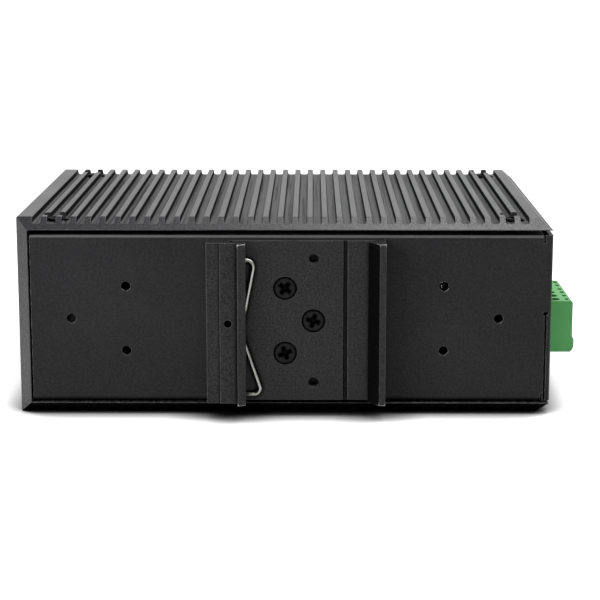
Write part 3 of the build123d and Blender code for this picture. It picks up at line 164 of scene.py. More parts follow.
class StageSettings(bpy.types.PropertyGroup):
    """Floor, light and camera."""

    floor_colour: colour_property("Floor", "Matte pale sweep", "#b4b4b4")
    key_radiance: radiance_property("Key", "Radiance of the softbox above", 5.0)
    fill_radiance: radiance_property("Fill", "Radiance of the front fill", 15.0)
    edge_radiance: radiance_property("Edge light", "Radiance of the high strip in front", 12.0)
    dim_side: share_property("Dim side", "Brightness behind the camera as reflections show it", 0.1)
    dim_left: share_property("Dim left", "Brightness on the far left as reflections show it", 0.4)
    dim_top: share_property("Dim top", "Brightness overhead as reflections show it", 0.32)
    # Reach of the contact shadow that is painted on the floor
    shadow_reach: length_property("Shadow reach", "How far the contact shadow spreads", 13.0)
    ambient: share_property("Ambient", "Strength of the room's soft light", 0.28)
    camera_lens: FloatProperty(
        name="Lens", description="Focal length in millimetres", default=109.4, min=10, unit="CAMERA"
    )


# Materials

# The Mix node's sockets share their names, so they go by number
COLOUR_A, COLOUR_B, COLOUR_OUT = 6, 7, 2
VALUE_A, VALUE_B = 2, 3

# Black that is painted as shade, in the clip's inner corners and the screws' recesses and rims
PAINTED_SHADE_BLACK = (0.0005, 0.0005, 0.0005, 1)
PLASTIC_IOR = 1.5
COAT_IOR = 1.5

# Depths under the rib tops: where the grooves' die lines begin and are full, and where the walls'
# painted shade is full and ends
LINES_BEGIN, LINES_FULL = 0.9 * MM, 1.5 * MM
WALLS_FULL, WALLS_END = 1.7 * MM, 2.2 * MM

# How far the clip's bright saw cut reaches from its ends, and how far its lip and hook stand proud
CUT_FULL, CUT_ENDS = 0.3 * MM, 0.9 * MM
PROUD_FULL, PROUD_ENDS = 1.2 * MM, 2.4 * MM


def node(tree, kind, inputs=None, take=0, **attributes):
    """Adds one node and gives the output that take numbers or names.

    An input is a value, or such an output of another node. A node without outputs gives itself.
    """
    made = tree.nodes.new(kind)
    for name, value in attributes.items():
        setattr(made, name, value)
    for key, value in (inputs or {}).items():
        if isinstance(value, bpy.types.NodeSocket):
            tree.links.new(value, made.inputs[key])
        else:
            made.inputs[key].default_value = value
    return made.outputs[take] if made.outputs else made


def new_material(name):
    """A material without nodes, and its node tree."""
    material = bpy.data.materials.new(name)
    material.use_nodes = True
    material.node_tree.nodes.clear()
    return material, material.node_tree


def surface(tree, inputs):
    """Gives a material its shader."""
    shader = node(tree, "ShaderNodeBsdfPrincipled", inputs)
    node(tree, "ShaderNodeOutputMaterial", {"Surface": shader})


def shade(colour, share):
    """A colour made darker or paler."""
    return [min(1.0, share * part) for part in colour[:3]] + [1.0]


def grain(tree, place, size, detail=2.0, stretch=None):
    """Noise whose cells are about size metres, drawn out along the axes by stretch."""
    if stretch is not None:
        place = node(tree, "ShaderNodeMapping", {"Vector": place, "Scale": stretch})
    settings = {"Vector": place, "Scale": 1 / size, "Detail": detail, "Roughness": 0.55}
    return node(tree, "ShaderNodeTexNoise", settings)


def mottled(tree, pattern, dark, pale, low=0.3, high=0.7):
    """Colour that goes from dark to pale while a pattern goes from low to high."""
    share = node(tree, "ShaderNodeMapRange", {"Value": pattern, "From Min": low, "From Max": high})
    sockets = {0: share, COLOUR_A: dark, COLOUR_B: pale}
    return node(tree, "ShaderNodeMix", sockets, take=COLOUR_OUT, data_type="RGBA")


def round_edges(tree, radius):
    """Normal that is rounded off near an edge, and how near the edge a point is, from 0 to 1."""
    soft = node(tree, "ShaderNodeBevel", {"Radius": radius}, samples=6)
    true = node(tree, "ShaderNodeNewGeometry", take="True Normal")
    likeness = node(tree, "ShaderNodeVectorMath", {0: soft, 1: true}, take="Value", operation="DOT_PRODUCT")
    edge = node(tree, "ShaderNodeMapRange", {"Value": likeness, "From Min": 0.985, "From Max": 0.8})
    return soft, edge


def rubbed_flecks(tree, place, edge):
    """Flecks along the edges where a coat is rubbed, from 0 to 1."""
    fleck = grain(tree, place, 0.6 * MM, detail=1.0)
    fleck = node(tree, "ShaderNodeMapRange", {"Value": fleck, "From Min": 0.3, "From Max": 0.7})
    return node(tree, "ShaderNodeMath", {0: edge, 1: fleck}, operation="MULTIPLY")


def height_from_middle(tree, place, bottom, top):
    """How far a point lies above or below the middle of a piece, and half the piece's height."""
    height = node(tree, "ShaderNodeSeparateXYZ", {"Vector": place}, take="Z")
    offset = node(tree, "ShaderNodeMath", {0: height, 1: (bottom + top) / 2}, operation="SUBTRACT")
    return node(tree, "ShaderNodeMath", {0: offset}, operation="ABSOLUTE"), (top - bottom) / 2


def powder_coat(name, settings):
    """Black powder coat baked on folded steel: satin, with a fine even grain and slightly rubbed edges.

    Powder flows before it sets, so its grain is coarser and softer than paint. It breaks the reflection
    of the room up. Its edges are rubbed pale in flecks, partly from wear and partly as painted highlight,
    and the pale line on the upward round of the upper bend is a painted highlight.
    """
    material, tree = new_material(name)
    place = node(tree, "ShaderNodeTexCoord", take="Object")
    soft, edge = round_edges(tree, 1.4 * settings.edge_radius)
    fine = grain(tree, place, settings.panel_grain, detail=3.0)
    cloud = grain(tree, place, 38 * MM, detail=3.0)
    colour = list(settings.panel_colour)
    tone = mottled(tree, cloud, shade(colour, 0.82), shade(colour, 1.3))
    # Painted highlight: the upward round of the upper bend, but not its flat top, is painted the pale
    # bare-metal colour
    up = node(tree, "ShaderNodeNewGeometry", take="Normal")
    up = node(tree, "ShaderNodeSeparateXYZ", {"Vector": up}, take="Z")
    turned = {"Value": up, "From Min": 0.25, "From Max": 0.7, "To Max": 0.38}
    turned = node(tree, "ShaderNodeMapRange", turned)
    level = {"Value": up, "From Min": 0.93, "From Max": 1.0, "To Min": 1.0, "To Max": 0.0}
    level = node(tree, "ShaderNodeMapRange", level)
    painted_fold_highlight = node(tree, "ShaderNodeMath", {0: turned, 1: level}, operation="MULTIPLY")
    # Rubbed flecks on the edges: partly wear and partly painted highlight lines
    flecks = rubbed_flecks(tree, place, edge)
    # From here on, rubbed holds both the rubbed flecks and the painted highlight on the bend
    rubbed = node(tree, "ShaderNodeMath", {0: flecks, 1: painted_fold_highlight}, operation="MAXIMUM")
    rubbed = {"Value": rubbed, "From Min": 0.15, "From Max": 0.7, "To Max": 0.35}
    rubbed = node(tree, "ShaderNodeMapRange", rubbed)
    base = {0: rubbed, COLOUR_A: tone, COLOUR_B: list(settings.bare_metal_and_painted_highlight)}
    rough = {"To Min": settings.panel_roughness - 0.04, "To Max": settings.panel_roughness + 0.04}
    rough = {"Value": cloud, "From Min": 0.25, "From Max": 0.75, **rough}
    shine = {"Value": fine, "From Min": 0.3, "From Max": 0.7, "To Min": 0.04, "To Max": 0.15}
    sockets = {
        "Base Color": node(tree, "ShaderNodeMix", base, take=COLOUR_OUT, data_type="RGBA"),
        "Roughness": node(tree, "ShaderNodeMapRange", rough),
        "Specular IOR Level": node(tree, "ShaderNodeMapRange", shine),
        "Normal": node(tree, "ShaderNodeBump", {"Height": fine, "Distance": 0.02 * MM, "Normal": soft}),
        "IOR": COAT_IOR,
    }
    surface(tree, sockets)
    return material


def groove_masks(tree, place):
    """Where the housing's surface is a groove's floor, a rib's wall, or faces down close to a floor.

    A point is in a groove by its depth under the rib tops, and the rims' bevels, which face along Y,
    don't count. A wall faces along X. A face close to a floor looks down and sees little of the room.
    Shade is painted on the walls and on these faces.
    """
    low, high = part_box("ribbed_housing")
    offset, reach = height_from_middle(tree, place, low.z, high.z)
    facing = node(tree, "ShaderNodeNewGeometry", take="True Normal")
    either_way = node(tree, "ShaderNodeVectorMath", {0: facing}, operation="ABSOLUTE")
    deep = {"Value": offset, "From Min": reach - LINES_BEGIN, "From Max": reach - LINES_FULL}
    deep = node(tree, "ShaderNodeMapRange", deep)
    bevel = node(tree, "ShaderNodeSeparateXYZ", {"Vector": either_way}, take="Y")
    level = {"Value": bevel, "From Min": 0.2, "From Max": 0.5, "To Min": 1.0, "To Max": 0.0}
    level = node(tree, "ShaderNodeMapRange", level)
    sunk = node(tree, "ShaderNodeMath", {0: deep, 1: level}, operation="MULTIPLY")
    upright = node(tree, "ShaderNodeSeparateXYZ", {"Vector": either_way}, take="X")
    upright = node(tree, "ShaderNodeMapRange", {"Value": upright, "From Min": 0.8, "From Max": 0.97})
    outer = {"Value": offset, "From Min": reach - WALLS_END, "From Max": reach - WALLS_FULL}
    outer = node(tree, "ShaderNodeMapRange", outer)
    wall = node(tree, "ShaderNodeMath", {0: upright, 1: outer}, operation="MULTIPLY")
    # Painted shade below: faces that look down and are hemmed in by a floor, found by occlusion
    bay = node(tree, "ShaderNodeAmbientOcclusion", {"Distance": 8 * MM}, take="AO", samples=6)
    closed = {"Value": bay, "From Min": 0.4, "From Max": 0.8, "To Min": 1.0, "To Max": 0.0}
    closed = node(tree, "ShaderNodeMapRange", closed)
    down = node(tree, "ShaderNodeSeparateXYZ", {"Vector": facing}, take="Z")
    down = node(tree, "ShaderNodeMapRange", {"Value": down, "From Min": -0.2, "From Max": -0.6})
    painted_shade_underside = node(tree, "ShaderNodeMath", {0: closed, 1: down}, operation="MULTIPLY")
    return sunk, wall, painted_shade_underside


def stoved_coat(name, settings):
    """Satin black coat stoved on a ribbed aluminium extrusion.

    The rib tops are smooth and mirror the room at a low angle. The coat is thin, so the grooves keep
    the die's fine lines. The walls are rougher. As painted shade, their colour is painted dark and their
    shine is cut. The edges are rubbed pale. What faces down close to a floor is painted black as shade,
    with no shine and no rubbed edges.
    """
    material, tree = new_material(name)
    place = node(tree, "ShaderNodeTexCoord", take="Object")
    soft, edge = round_edges(tree, settings.edge_radius)
    sunk, wall, painted_shade_underside = groove_masks(tree, place)
    # Painted shade: the groove walls and the faces down close to a floor
    painted_shade_mask = node(tree, "ShaderNodeMath", {0: wall, 1: painted_shade_underside}, operation="MAXIMUM")
    streaks = grain(tree, place, 0.75 * MM, detail=3.0, stretch=(1.0, 0.01, 1.0))
    fine = grain(tree, place, settings.housing_grain, detail=3.0)
    cloud = grain(tree, place, 34 * MM, detail=3.0)

    colour = list(settings.housing_colour)
    dark = shade(colour, 0.6)
    pale = shade(colour, 1.5)
    even = mottled(tree, fine, dark, pale)
    lined = mottled(tree, streaks, dark, pale, 0.35, 0.65)
    tone = {0: sunk, COLOUR_A: even, COLOUR_B: lined}
    tone = node(tree, "ShaderNodeMix", tone, take=COLOUR_OUT, data_type="RGBA")
    # Painted shade: a much darker copy of the coat's colour on the walls and underside
    tone = {0: painted_shade_mask, COLOUR_A: tone, COLOUR_B: shade(colour, 0.25)}
    tone = node(tree, "ShaderNodeMix", tone, take=COLOUR_OUT, data_type="RGBA")
    rubbed = {"Value": rubbed_flecks(tree, place, edge), "From Min": 0.25, "From Max": 0.9}
    rubbed = node(tree, "ShaderNodeMapRange", {**rubbed, "To Max": settings.housing_rub})
    # No rubbed edges where shade is painted under the housing
    rubbed = node(tree, "ShaderNodeMix", {0: painted_shade_underside, VALUE_A: rubbed, VALUE_B: 0.0})
    base = {0: rubbed, COLOUR_A: tone, COLOUR_B: list(settings.bare_metal_and_painted_highlight)}

    rough = {"To Min": settings.housing_roughness - 0.04, "To Max": settings.housing_roughness + 0.04}
    rough = {"Value": cloud, "From Min": 0.25, "From Max": 0.75, **rough}
    rough = node(tree, "ShaderNodeMapRange", rough)
    more = {"Value": streaks, "From Min": 0.3, "From Max": 0.7, "To Min": 0.06, "To Max": 0.16}
    more = node(tree, "ShaderNodeMapRange", more)
    more = node(tree, "ShaderNodeMath", {0: more, 1: sunk}, operation="MULTIPLY")
    rough = node(tree, "ShaderNodeMath", {0: rough, 1: more}, operation="ADD")

    shine = {"Value": fine, "From Min": 0.3, "From Max": 0.7, "To Min": 0.24, "To Max": 0.8}
    shine = node(tree, "ShaderNodeMapRange", shine)
    lined_shine = {"Value": streaks, "From Min": 0.38, "From Max": 0.62, "To Min": 0.04, "To Max": 0.62}
    lined_shine = node(tree, "ShaderNodeMapRange", lined_shine)
    # Where shade is painted, the shine is cut as well
    for mask, value in ((sunk, lined_shine), (painted_shade_mask, 0.06), (painted_shade_underside, 0.0)):
        shine = node(tree, "ShaderNodeMix", {0: mask, VALUE_A: shine, VALUE_B: value})

    bump = node(tree, "ShaderNodeBump", {"Height": fine, "Distance": 0.02 * MM, "Normal": soft})
    sockets = {
        "Base Color": node(tree, "ShaderNodeMix", base, take=COLOUR_OUT, data_type="RGBA"),
        "Roughness": node(tree, "ShaderNodeMath", {0: wall, 1: 0.35, 2: rough}, operation="MULTIPLY_ADD"),
        "Specular IOR Level": shine,
        "Normal": node(tree, "ShaderNodeBump", {"Height": streaks, "Distance": 0.014 * MM, "Normal": bump}),
        "IOR": COAT_IOR,
    }
    surface(tree, sockets)
    return material


def anodised_extrusion(name, settings):
    """Black anodised aluminium extrusion: smooth satin, with faint die lines along its length.

    The saw-cut ends of its lip and hook are rubbed bright. Its edges are a little pale, partly from
    wear and partly as painted highlight lines. Its inner corners and the hook's inner face turn away from
    the light and are painted black as shade.
    """
    material, tree = new_material(name)
    place = node(tree, "ShaderNodeTexCoord", take="Object")
    soft, edge = round_edges(tree, 0.3 * MM)
    low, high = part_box("din_clip")
    offset, reach = height_from_middle(tree, place, low.z, high.z)
    lines = grain(tree, place, 0.5 * MM, detail=3.0, stretch=(1.0, 1.0, 0.02))

    near_end = {"Value": offset, "From Min": reach - CUT_ENDS, "From Max": reach - CUT_FULL}
    near_end = node(tree, "ShaderNodeMapRange", near_end)
    cut = {"Value": offset, "From Min": reach - 0.06 * MM, "From Max": reach - 0.02 * MM}
    cut = node(tree, "ShaderNodeMapRange", cut)
    proud = node(tree, "ShaderNodeSeparateXYZ", {"Vector": place}, take="Y")
    proud = {"Value": proud, "From Min": low.y + PROUD_ENDS, "From Max": low.y + PROUD_FULL}
    proud = node(tree, "ShaderNodeMapRange", proud)
    rim = node(tree, "ShaderNodeMapRange", {"Value": edge, "From Min": 0.05, "From Max": 0.4})
    bright = node(tree, "ShaderNodeMath", {0: near_end, 1: proud}, operation="MULTIPLY")
    bright = node(tree, "ShaderNodeMath", {0: bright, 1: rim}, operation="MULTIPLY")

    # Painted shade: inner corners found by occlusion, and faces turned towards -X, are painted black without
    # shine
    corner = node(tree, "ShaderNodeAmbientOcclusion", {"Distance": 1.4 * MM}, take="AO", samples=8)
    corner = {"Value": corner, "From Min": 0.6, "From Max": 0.95, "To Min": 1.0, "To Max": 0.0}
    corner = node(tree, "ShaderNodeMapRange", corner)
    facing = node(tree, "ShaderNodeNewGeometry", take="True Normal")
    facing = node(tree, "ShaderNodeSeparateXYZ", {"Vector": facing}, take="X")
    painted_shade_averted = {"Value": facing, "From Min": -0.3, "From Max": -0.7, "To Max": 0.85}
    painted_shade_averted = node(tree, "ShaderNodeMapRange", painted_shade_averted)
    inner = node(tree, "ShaderNodeMath", {0: corner, 1: painted_shade_averted}, operation="MAXIMUM")

    colour = list(settings.clip_colour)
    bare = list(settings.bare_metal_and_painted_highlight)
    tone = mottled(tree, grain(tree, place, 9 * MM, detail=2.0), colour, shade(colour, 1.35))
    # Pale edges: partly wear and partly painted highlight lines
    worn_and_painted_highlight = node(tree, "ShaderNodeMapRange", {"Value": edge, "From Min": 0.2, "From Max": 0.9, "To Max": 0.2})
    for mask, under in ((worn_and_painted_highlight, bare), (inner, PAINTED_SHADE_BLACK), (bright, bare)):
        tone = {0: mask, COLOUR_A: tone, COLOUR_B: under}
        tone = node(tree, "ShaderNodeMix", tone, take=COLOUR_OUT, data_type="RGBA")

    rough = {"To Min": settings.clip_roughness - 0.06, "To Max": settings.clip_roughness + 0.06}
    rough = {"Value": lines, "From Min": 0.2, "From Max": 0.8, **rough}
    rough = node(tree, "ShaderNodeMapRange", rough)
    shine = grain(tree, place, 0.5 * MM, detail=2.0)
    shine = {"Value": shine, "From Min": 0.3, "From Max": 0.7, "To Min": 0.12, "To Max": 0.34}
    shine = node(tree, "ShaderNodeMapRange", shine)
    for mask, value in ((cut, 0.12), (inner, 0.0)):
        shine = node(tree, "ShaderNodeMix", {0: mask, VALUE_A: shine, VALUE_B: value})
    sockets = {
        "Base Color": tone,
        "Metallic": bright,
        "Roughness": node(tree, "ShaderNodeMath", {0: cut, 1: 0.3, 2: rough}, operation="MULTIPLY_ADD"),
        "Specular IOR Level": shine,
        "Normal": node(tree, "ShaderNodeBump", {"Height": lines, "Distance": 0.012 * MM, "Normal": soft}),
        "IOR": COAT_IOR,
    }
    surface(tree, sockets)
    return material


def blackened_steel(name, colour):
    """Black oxide on steel: a thin matt skin.

    Recesses and rounded rims are painted black as shade, and lose their shine.
    """
    material, tree = new_material(name)
    place = node(tree, "ShaderNodeTexCoord", take="Object")
    soft, edge = round_edges(tree, 1.0 * MM)
    # Painted shade: recesses found by occlusion, and the rounded rims, go black
    bay = node(tree, "ShaderNodeAmbientOcclusion", {"Distance": 2 * MM}, take="AO", samples=8)
    bare = node(tree, "ShaderNodeMapRange", {"Value": bay, "From Min": 0.45, "From Max": 0.95})
    kept = {"Value": edge, "From Min": 0.02, "From Max": 0.3, "To Min": 1.0, "To Max": 0.0}
    kept = node(tree, "ShaderNodeMapRange", kept)
    lit = node(tree, "ShaderNodeMath", {0: bare, 1: kept}, operation="MULTIPLY")
    marks = grain(tree, place, 0.35 * MM, detail=2.0)
    base = {0: lit, COLOUR_A: PAINTED_SHADE_BLACK, COLOUR_B: colour}
    rough = {"Value": marks, "From Min": 0.2, "From Max": 0.8, "To Min": 0.45, "To Max": 0.6}
    sockets = {
        "Base Color": node(tree, "ShaderNodeMix", base, take=COLOUR_OUT, data_type="RGBA"),
        "Roughness": node(tree, "ShaderNodeMapRange", rough),
        "Specular IOR Level": node(tree, "ShaderNodeMapRange", {"Value": lit, "To Max": 0.12}),
        "Normal": node(tree, "ShaderNodeBump", {"Height": marks, "Distance": 0.012 * MM, "Normal": soft}),
        "IOR": COAT_IOR,
    }
    surface(tree, sockets)
    return material


def plated_metal(name, colour, roughness, size, depth, run=None):
    """Plated or bright metal: its full colour is in the reflection, broken by fine working marks.

    The marks are about size metres wide and depth deep, and run draws them out along the axes.
    """
    material, tree = new_material(name)
    place = node(tree, "ShaderNodeTexCoord", take="Object")
    soft, _ = round_edges(tree, 0.12 * MM)
    marks = grain(tree, place, size, detail=3.0, stretch=run)
    haze = grain(tree, place, 6 * MM, detail=2.0)
    rough = {"To Min": roughness - 0.06, "To Max": roughness + 0.08}
    rough = {"Value": marks, "From Min": 0.25, "From Max": 0.75, **rough}
    sockets = {
        "Base Color": mottled(tree, haze, shade(colour, 0.78), colour),
        "Metallic": 1.0,
        "Roughness": node(tree, "ShaderNodeMapRange", rough),
        "Normal": node(tree, "ShaderNodeBump", {"Height": marks, "Distance": depth, "Normal": soft}),
    }
    surface(tree, sockets)
    return material


def moulded_plastic(name, colour, roughness, size=0.7 * MM, depth=0.01 * MM, edge=0.15 * MM):
    """Moulded plastic: the mould's fine spark texture, slightly round edges and a slight change of tone."""
    material, tree = new_material(name)
    place = node(tree, "ShaderNodeTexCoord", take="Object")
    soft, _ = round_edges(tree, edge)
    spark = grain(tree, place, size, detail=2.0)
    flow = grain(tree, place, 12 * MM, detail=2.0)
    rough = {"To Min": roughness - 0.05, "To Max": roughness + 0.05}
    rough = {"Value": spark, "From Min": 0.2, "From Max": 0.8, **rough}
    sockets = {
        "Base Color": mottled(tree, flow, shade(colour, 0.9), shade(colour, 1.08)),
        "Roughness": node(tree, "ShaderNodeMapRange", rough),
        "Normal": node(tree, "ShaderNodeBump", {"Height": spark, "Distance": depth, "Normal": soft}),
        "IOR": PLASTIC_IOR,
    }
    surface(tree, sockets)
    return material


def clear_plastic(name, colour):
    """Smoked polycarbonate: bends light strongly, is polished, and lets only part of the light through."""
    material, tree = new_material(name)
    place = node(tree, "ShaderNodeTexCoord", take="Object")
    flow = grain(tree, place, 3 * MM, detail=2.0)
    rough = {"Value": flow, "From Min": 0.2, "From Max": 0.8, "To Min": 0.06, "To Max": 0.16}
    sockets = {
        "Base Color": colour,
        "Transmission Weight": 0.3,
        "IOR": 1.585,
        "Roughness": node(tree, "ShaderNodeMapRange", rough),
    }
    surface(tree, sockets)
    return material


def solder_mask(name, settings):
    """Fibreglass board under green solder mask: glossy, with traces that show as paler raised lines.

    The traces are drawn coarser than real ones, which would be too fine to show.
    """
    material, tree = new_material(name)
    lanes = {
        "Vector": node(tree, "ShaderNodeTexCoord", take="Object"),
        "Color1": (1, 1, 1, 1),
        "Color2": (0.8, 0.8, 0.8, 1),
        "Mortar": (0, 0, 0, 1),
        "Scale": 1 / (10 * MM),
        "Mortar Size": 0.016,
        "Brick Width": 0.9,
        "Row Height": 0.11,
    }
    lanes = node(tree, "ShaderNodeTexBrick", lanes, take="Color", offset=0.37)
    trace = node(tree, "ShaderNodeMapRange", {"Value": lanes, "From Max": 0.8})
    colour = list(settings.board_colour)
    base = {0: trace, COLOUR_A: colour, COLOUR_B: shade(colour, 1.6)}
    soft, _ = round_edges(tree, 0.1 * MM)
    sockets = {
        "Base Color": node(tree, "ShaderNodeMix", base, take=COLOUR_OUT, data_type="RGBA"),
        "Roughness": 0.28,
        "Normal": node(tree, "ShaderNodeBump", {"Height": trace, "Distance": 0.035 * MM, "Normal": soft}),
    }
    surface(tree, sockets)
    return material


def dress(names, material):
    """Puts one material on every slot of the named CAD pieces."""
    for name in names:
        mesh = frame["nodes"][name].data
        mesh.materials.clear()
        mesh.materials.append(material)


# Surfaces

def grid_faces(rows, columns, close_rows=False, close_columns=False, flip=False):
    """Quads between neighbouring points of a grid, numbered row by row."""
    row = np.arange(rows if close_rows else rows - 1)[:, None]
    column = np.arange(columns if close_columns else columns - 1)[None, :]
    next_row = (row + 1) % rows
    next_column = (column + 1) % columns
    corners = [row * columns + column, row * columns + next_column]
    corners += [next_row * columns + next_column, next_row * columns + column]
    faces = np.stack([corner + 0 * (row + column) for corner in corners], axis=-1).reshape(-1, 4)
    return faces[:, ::-1] if flip else faces


def new_piece(name, points, faces, material, body):
    """A smooth mesh from an array of points and a list of arrays of faces, riding on a body."""
    mesh = bpy.data.meshes.new(name)
    mesh.from_pydata(points.reshape(-1, 3).tolist(), [], sum((part.tolist() for part in faces), []))
    mesh.polygons.foreach_set("use_smooth", np.full(len(mesh.polygons), True))
    mesh.materials.append(material)
    piece = bpy.data.objects.new(name, mesh)
    bpy.context.scene.collection.objects.link(piece)
    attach(piece, body)
    return piece


def filleted_route(corners, radii, step):
    """Straight runs joined by tangent arcs.

    At a corner of turn t the arc of radius r starts r tan(t / 2) before it, and its points are the
    centre plus r times the unit vector that swings from one tangent point to the other.
    """
    corners = np.asarray(corners, float)
    stretches = [corners[:1]]
    for before, corner, after, radius in zip(corners, corners[1:], corners[2:], radii):
        back = (before - corner) / np.linalg.norm(before - corner)
        ahead = (after - corner) / np.linalg.norm(after - corner)
        opening = math.acos(float(np.clip(back @ ahead, -1, 1)))
        centre = corner + (back + ahead) / np.linalg.norm(back + ahead) * radius / math.sin(opening / 2)
        reach = radius / math.tan(opening / 2)
        first = (corner + back * reach - centre) / radius
        last = (corner + ahead * reach - centre) / radius
        turn = math.pi - opening
        count = max(6, int(radius * turn / step))
        share = np.linspace(0, 1, count)[:, None]
        swing = (np.sin((1 - share) * turn) * first + np.sin(share * turn) * last) / math.sin(turn)
        stretches.append(centre + radius * swing)
    stretches.append(corners[-1:])
    return np.concatenate(stretches)


def tube_points(route, side, radius, sides):
    """Circle of the given radius carried along a route.

    side is a unit vector at each point, square to the route: a ring is the route's point plus
    radius times (side cos a + (tangent x side) sin a).
    """
    tangent = np.gradient(route, axis=0)
    tangent /= np.linalg.norm(tangent, axis=1, keepdims=True)
    other = np.cross(tangent, side)
    angle = np.linspace(0, 2 * math.pi, sides, endpoint=False)[None, :, None]
    return route[:, None] + radius * (side[:, None] * np.cos(angle) + other[:, None] * np.sin(angle))


def capped_tube(route, side, radius, sides):
    """A tube's points and faces, with a fan over each end."""
    rings = tube_points(route, side, radius, sides)
    rows = len(route)
    faces = grid_faces(rows, sides, close_columns=True, flip=True)
    points = np.concatenate([rings.reshape(-1, 3), route[:1], route[-1:]])
    around = np.arange(sides)
    onward = (around + 1) % sides
    start = np.stack([around, onward, np.full(sides, rows * sides)], axis=-1)
    last = (rows - 1) * sides
    end = np.stack([last + onward, last + around, np.full(sides, rows * sides + 1)], axis=-1)
    return points, [faces, start, end]


# Pieces

# Corners of the spring's wire: distance from its hidden ends and radius of the bend in millimetres,
# with the share of its height between them
SPRING_CORNERS = ((5.95, 1.0, 1.9), (2.0, 0.4611, 10.0), (7.95, 0.0, 1.7))
SPRING_STEP = 0.1 * MM
SPRING_SIDES = 20

# Where a jack screw's thread starts below its face, how deep it goes, and how far its ring is in the metal
THREAD_START = 0.3 * MM
THREAD_LENGTH = 4.2 * MM
THREAD_WALL = 0.06 * MM
THREAD_ROWS = 8
THREAD_COLUMNS = 28


def spring_wire(settings, material):
    """The clip's spring: one wire bent in a plane, from its upper end over two bows to its lower end."""
    low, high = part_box("clip_spring")
    radius = settings.spring_diameter / 2
    y = (low.y + high.y) / 2
    bottom = low.z + radius
    rise = high.z - low.z - 2 * radius
    corners = [(low.x, y, bottom + rise)]
    corners += [(low.x + x * MM, y, bottom + share * rise) for x, share, _ in SPRING_CORNERS]
    corners.append((low.x, y, bottom))
    bends = [bend * MM for _, _, bend in SPRING_CORNERS]
    route = filleted_route(corners, bends, SPRING_STEP)
    side = np.tile([0.0, 1.0, 0.0], (len(route), 1))
    points, faces = capped_tube(route, side, radius, SPRING_SIDES)
    piece = new_piece("spring_wire", points, faces, material, "case")
    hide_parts("clip_spring")


def thread_lining(centre, radius, settings):
    """Thread inside a bore along Y, with THREAD_ROWS rows of points a turn.

    The inner wall's radius is the bore's less depth times a triangle wave of (y / pitch - angle / 2 pi),
    and the outer wall lies a little inside the metal, so the ring is closed.
    """
    rows = int(THREAD_LENGTH / settings.thread_pitch * THREAD_ROWS) + 1
    along = np.linspace(0, THREAD_LENGTH, rows)
    angle = np.linspace(0, 2 * math.pi, THREAD_COLUMNS, endpoint=False)
    phase = along[:, None] / settings.thread_pitch - angle[None, :] / (2 * math.pi)
    wave = 1 - np.abs(2 * (phase % 1.0) - 1)
    inner = radius - settings.thread_depth * wave
    outer = np.full_like(inner, radius + THREAD_WALL)
    rings = np.concatenate([inner, outer[::-1]])
    depth = np.concatenate([along, along[::-1]])[:, None] + 0 * rings
    x = centre[0] + rings * np.cos(angle)
    y = centre[1] - THREAD_START - depth
    z = centre[2] + rings * np.sin(angle)
    return np.stack([x, y, z], axis=-1)


# Stage

# Half the floor's width, and how many squares it has along a side
FLOOR_REACH = 6.0
FLOOR_CELLS = 24

# Each lamp's place, its width and depth, and the point that it is turned to, in metres
LAMPS = {
    "key_softbox": ((0.18, -0.07, 0.34), (0.38, 0.32), (0.18, -0.07, 0.0)),
    "front_fill": ((-0.26, -0.32, 0.19), (0.28, 0.16), (-0.02, -0.05, 0.02)),
    "edge_light": ((0.12, -0.75, 0.8), (0.6, 0.08), (0.0, -0.05, 0.05)),
}

# The camera's place in millimetres, and its angles in degrees
CAMERA_PLACE = (3.14, -538.40, 130.86)
CAMERA_PITCH = 11.43
CAMERA_YAW = 0.371


def seen_directly(tree):
    """1 for rays from the camera, a mirror or clear plastic, and 0 for soft light."""
    seen = node(tree, "ShaderNodeLightPath", take="Is Camera Ray")
    for kind in ("Is Glossy Ray", "Is Transmission Ray"):
        ray = node(tree, "ShaderNodeLightPath", take=kind)
        seen = node(tree, "ShaderNodeMath", {0: seen, 1: ray}, operation="MAXIMUM")
    return seen


def pale_sweep(stage):
    """Matte pale sweep that shows as white where it sees the open room, with a contact shadow painted in.

    How much open room a point sees comes from its occlusion, over a near and a far reach. Near the
    object this paints the floor's colour and glow darker as shadow.
    """
    material, tree = new_material("matte pale sweep")
    near = {"Distance": stage.shadow_reach}
    near = node(tree, "ShaderNodeAmbientOcclusion", near, take="AO", samples=16)
    near = node(tree, "ShaderNodeMapRange", {"Value": near, "From Min": 0.15, "From Max": 0.8})
    near = node(tree, "ShaderNodeMath", {0: near, 1: 2.2}, operation="POWER")
    far = {"Distance": 3.5 * stage.shadow_reach}
    far = node(tree, "ShaderNodeAmbientOcclusion", far, take="AO", samples=16)
    far = {"Value": far, "From Min": 0.6, "From Max": 1.0, "To Min": 0.72, "To Max": 1.0}
    far = node(tree, "ShaderNodeMapRange", far)
    # Painted shadow: the floor goes dark where it sees little open room
    painted_shadow_lift = node(tree, "ShaderNodeMath", {0: near, 1: far}, operation="MULTIPLY")
    colour = {0: painted_shadow_lift, COLOUR_A: (0.002, 0.002, 0.002, 1), COLOUR_B: list(stage.floor_colour)}
    colour = node(tree, "ShaderNodeMix", colour, take=COLOUR_OUT, data_type="RGBA")
    matte = node(tree, "ShaderNodeBsdfDiffuse", {"Color": colour})
    painted_shadow_lift = node(tree, "ShaderNodeMath", {0: painted_shadow_lift, 1: seen_directly(tree)}, operation="MULTIPLY")
    glow = node(tree, "ShaderNodeEmission", {"Color": (1, 1, 1, 1), "Strength": painted_shadow_lift})
    both = node(tree, "ShaderNodeAddShader", {0: matte, 1: glow})
    node(tree, "ShaderNodeOutputMaterial", {"Surface": both})
    return material


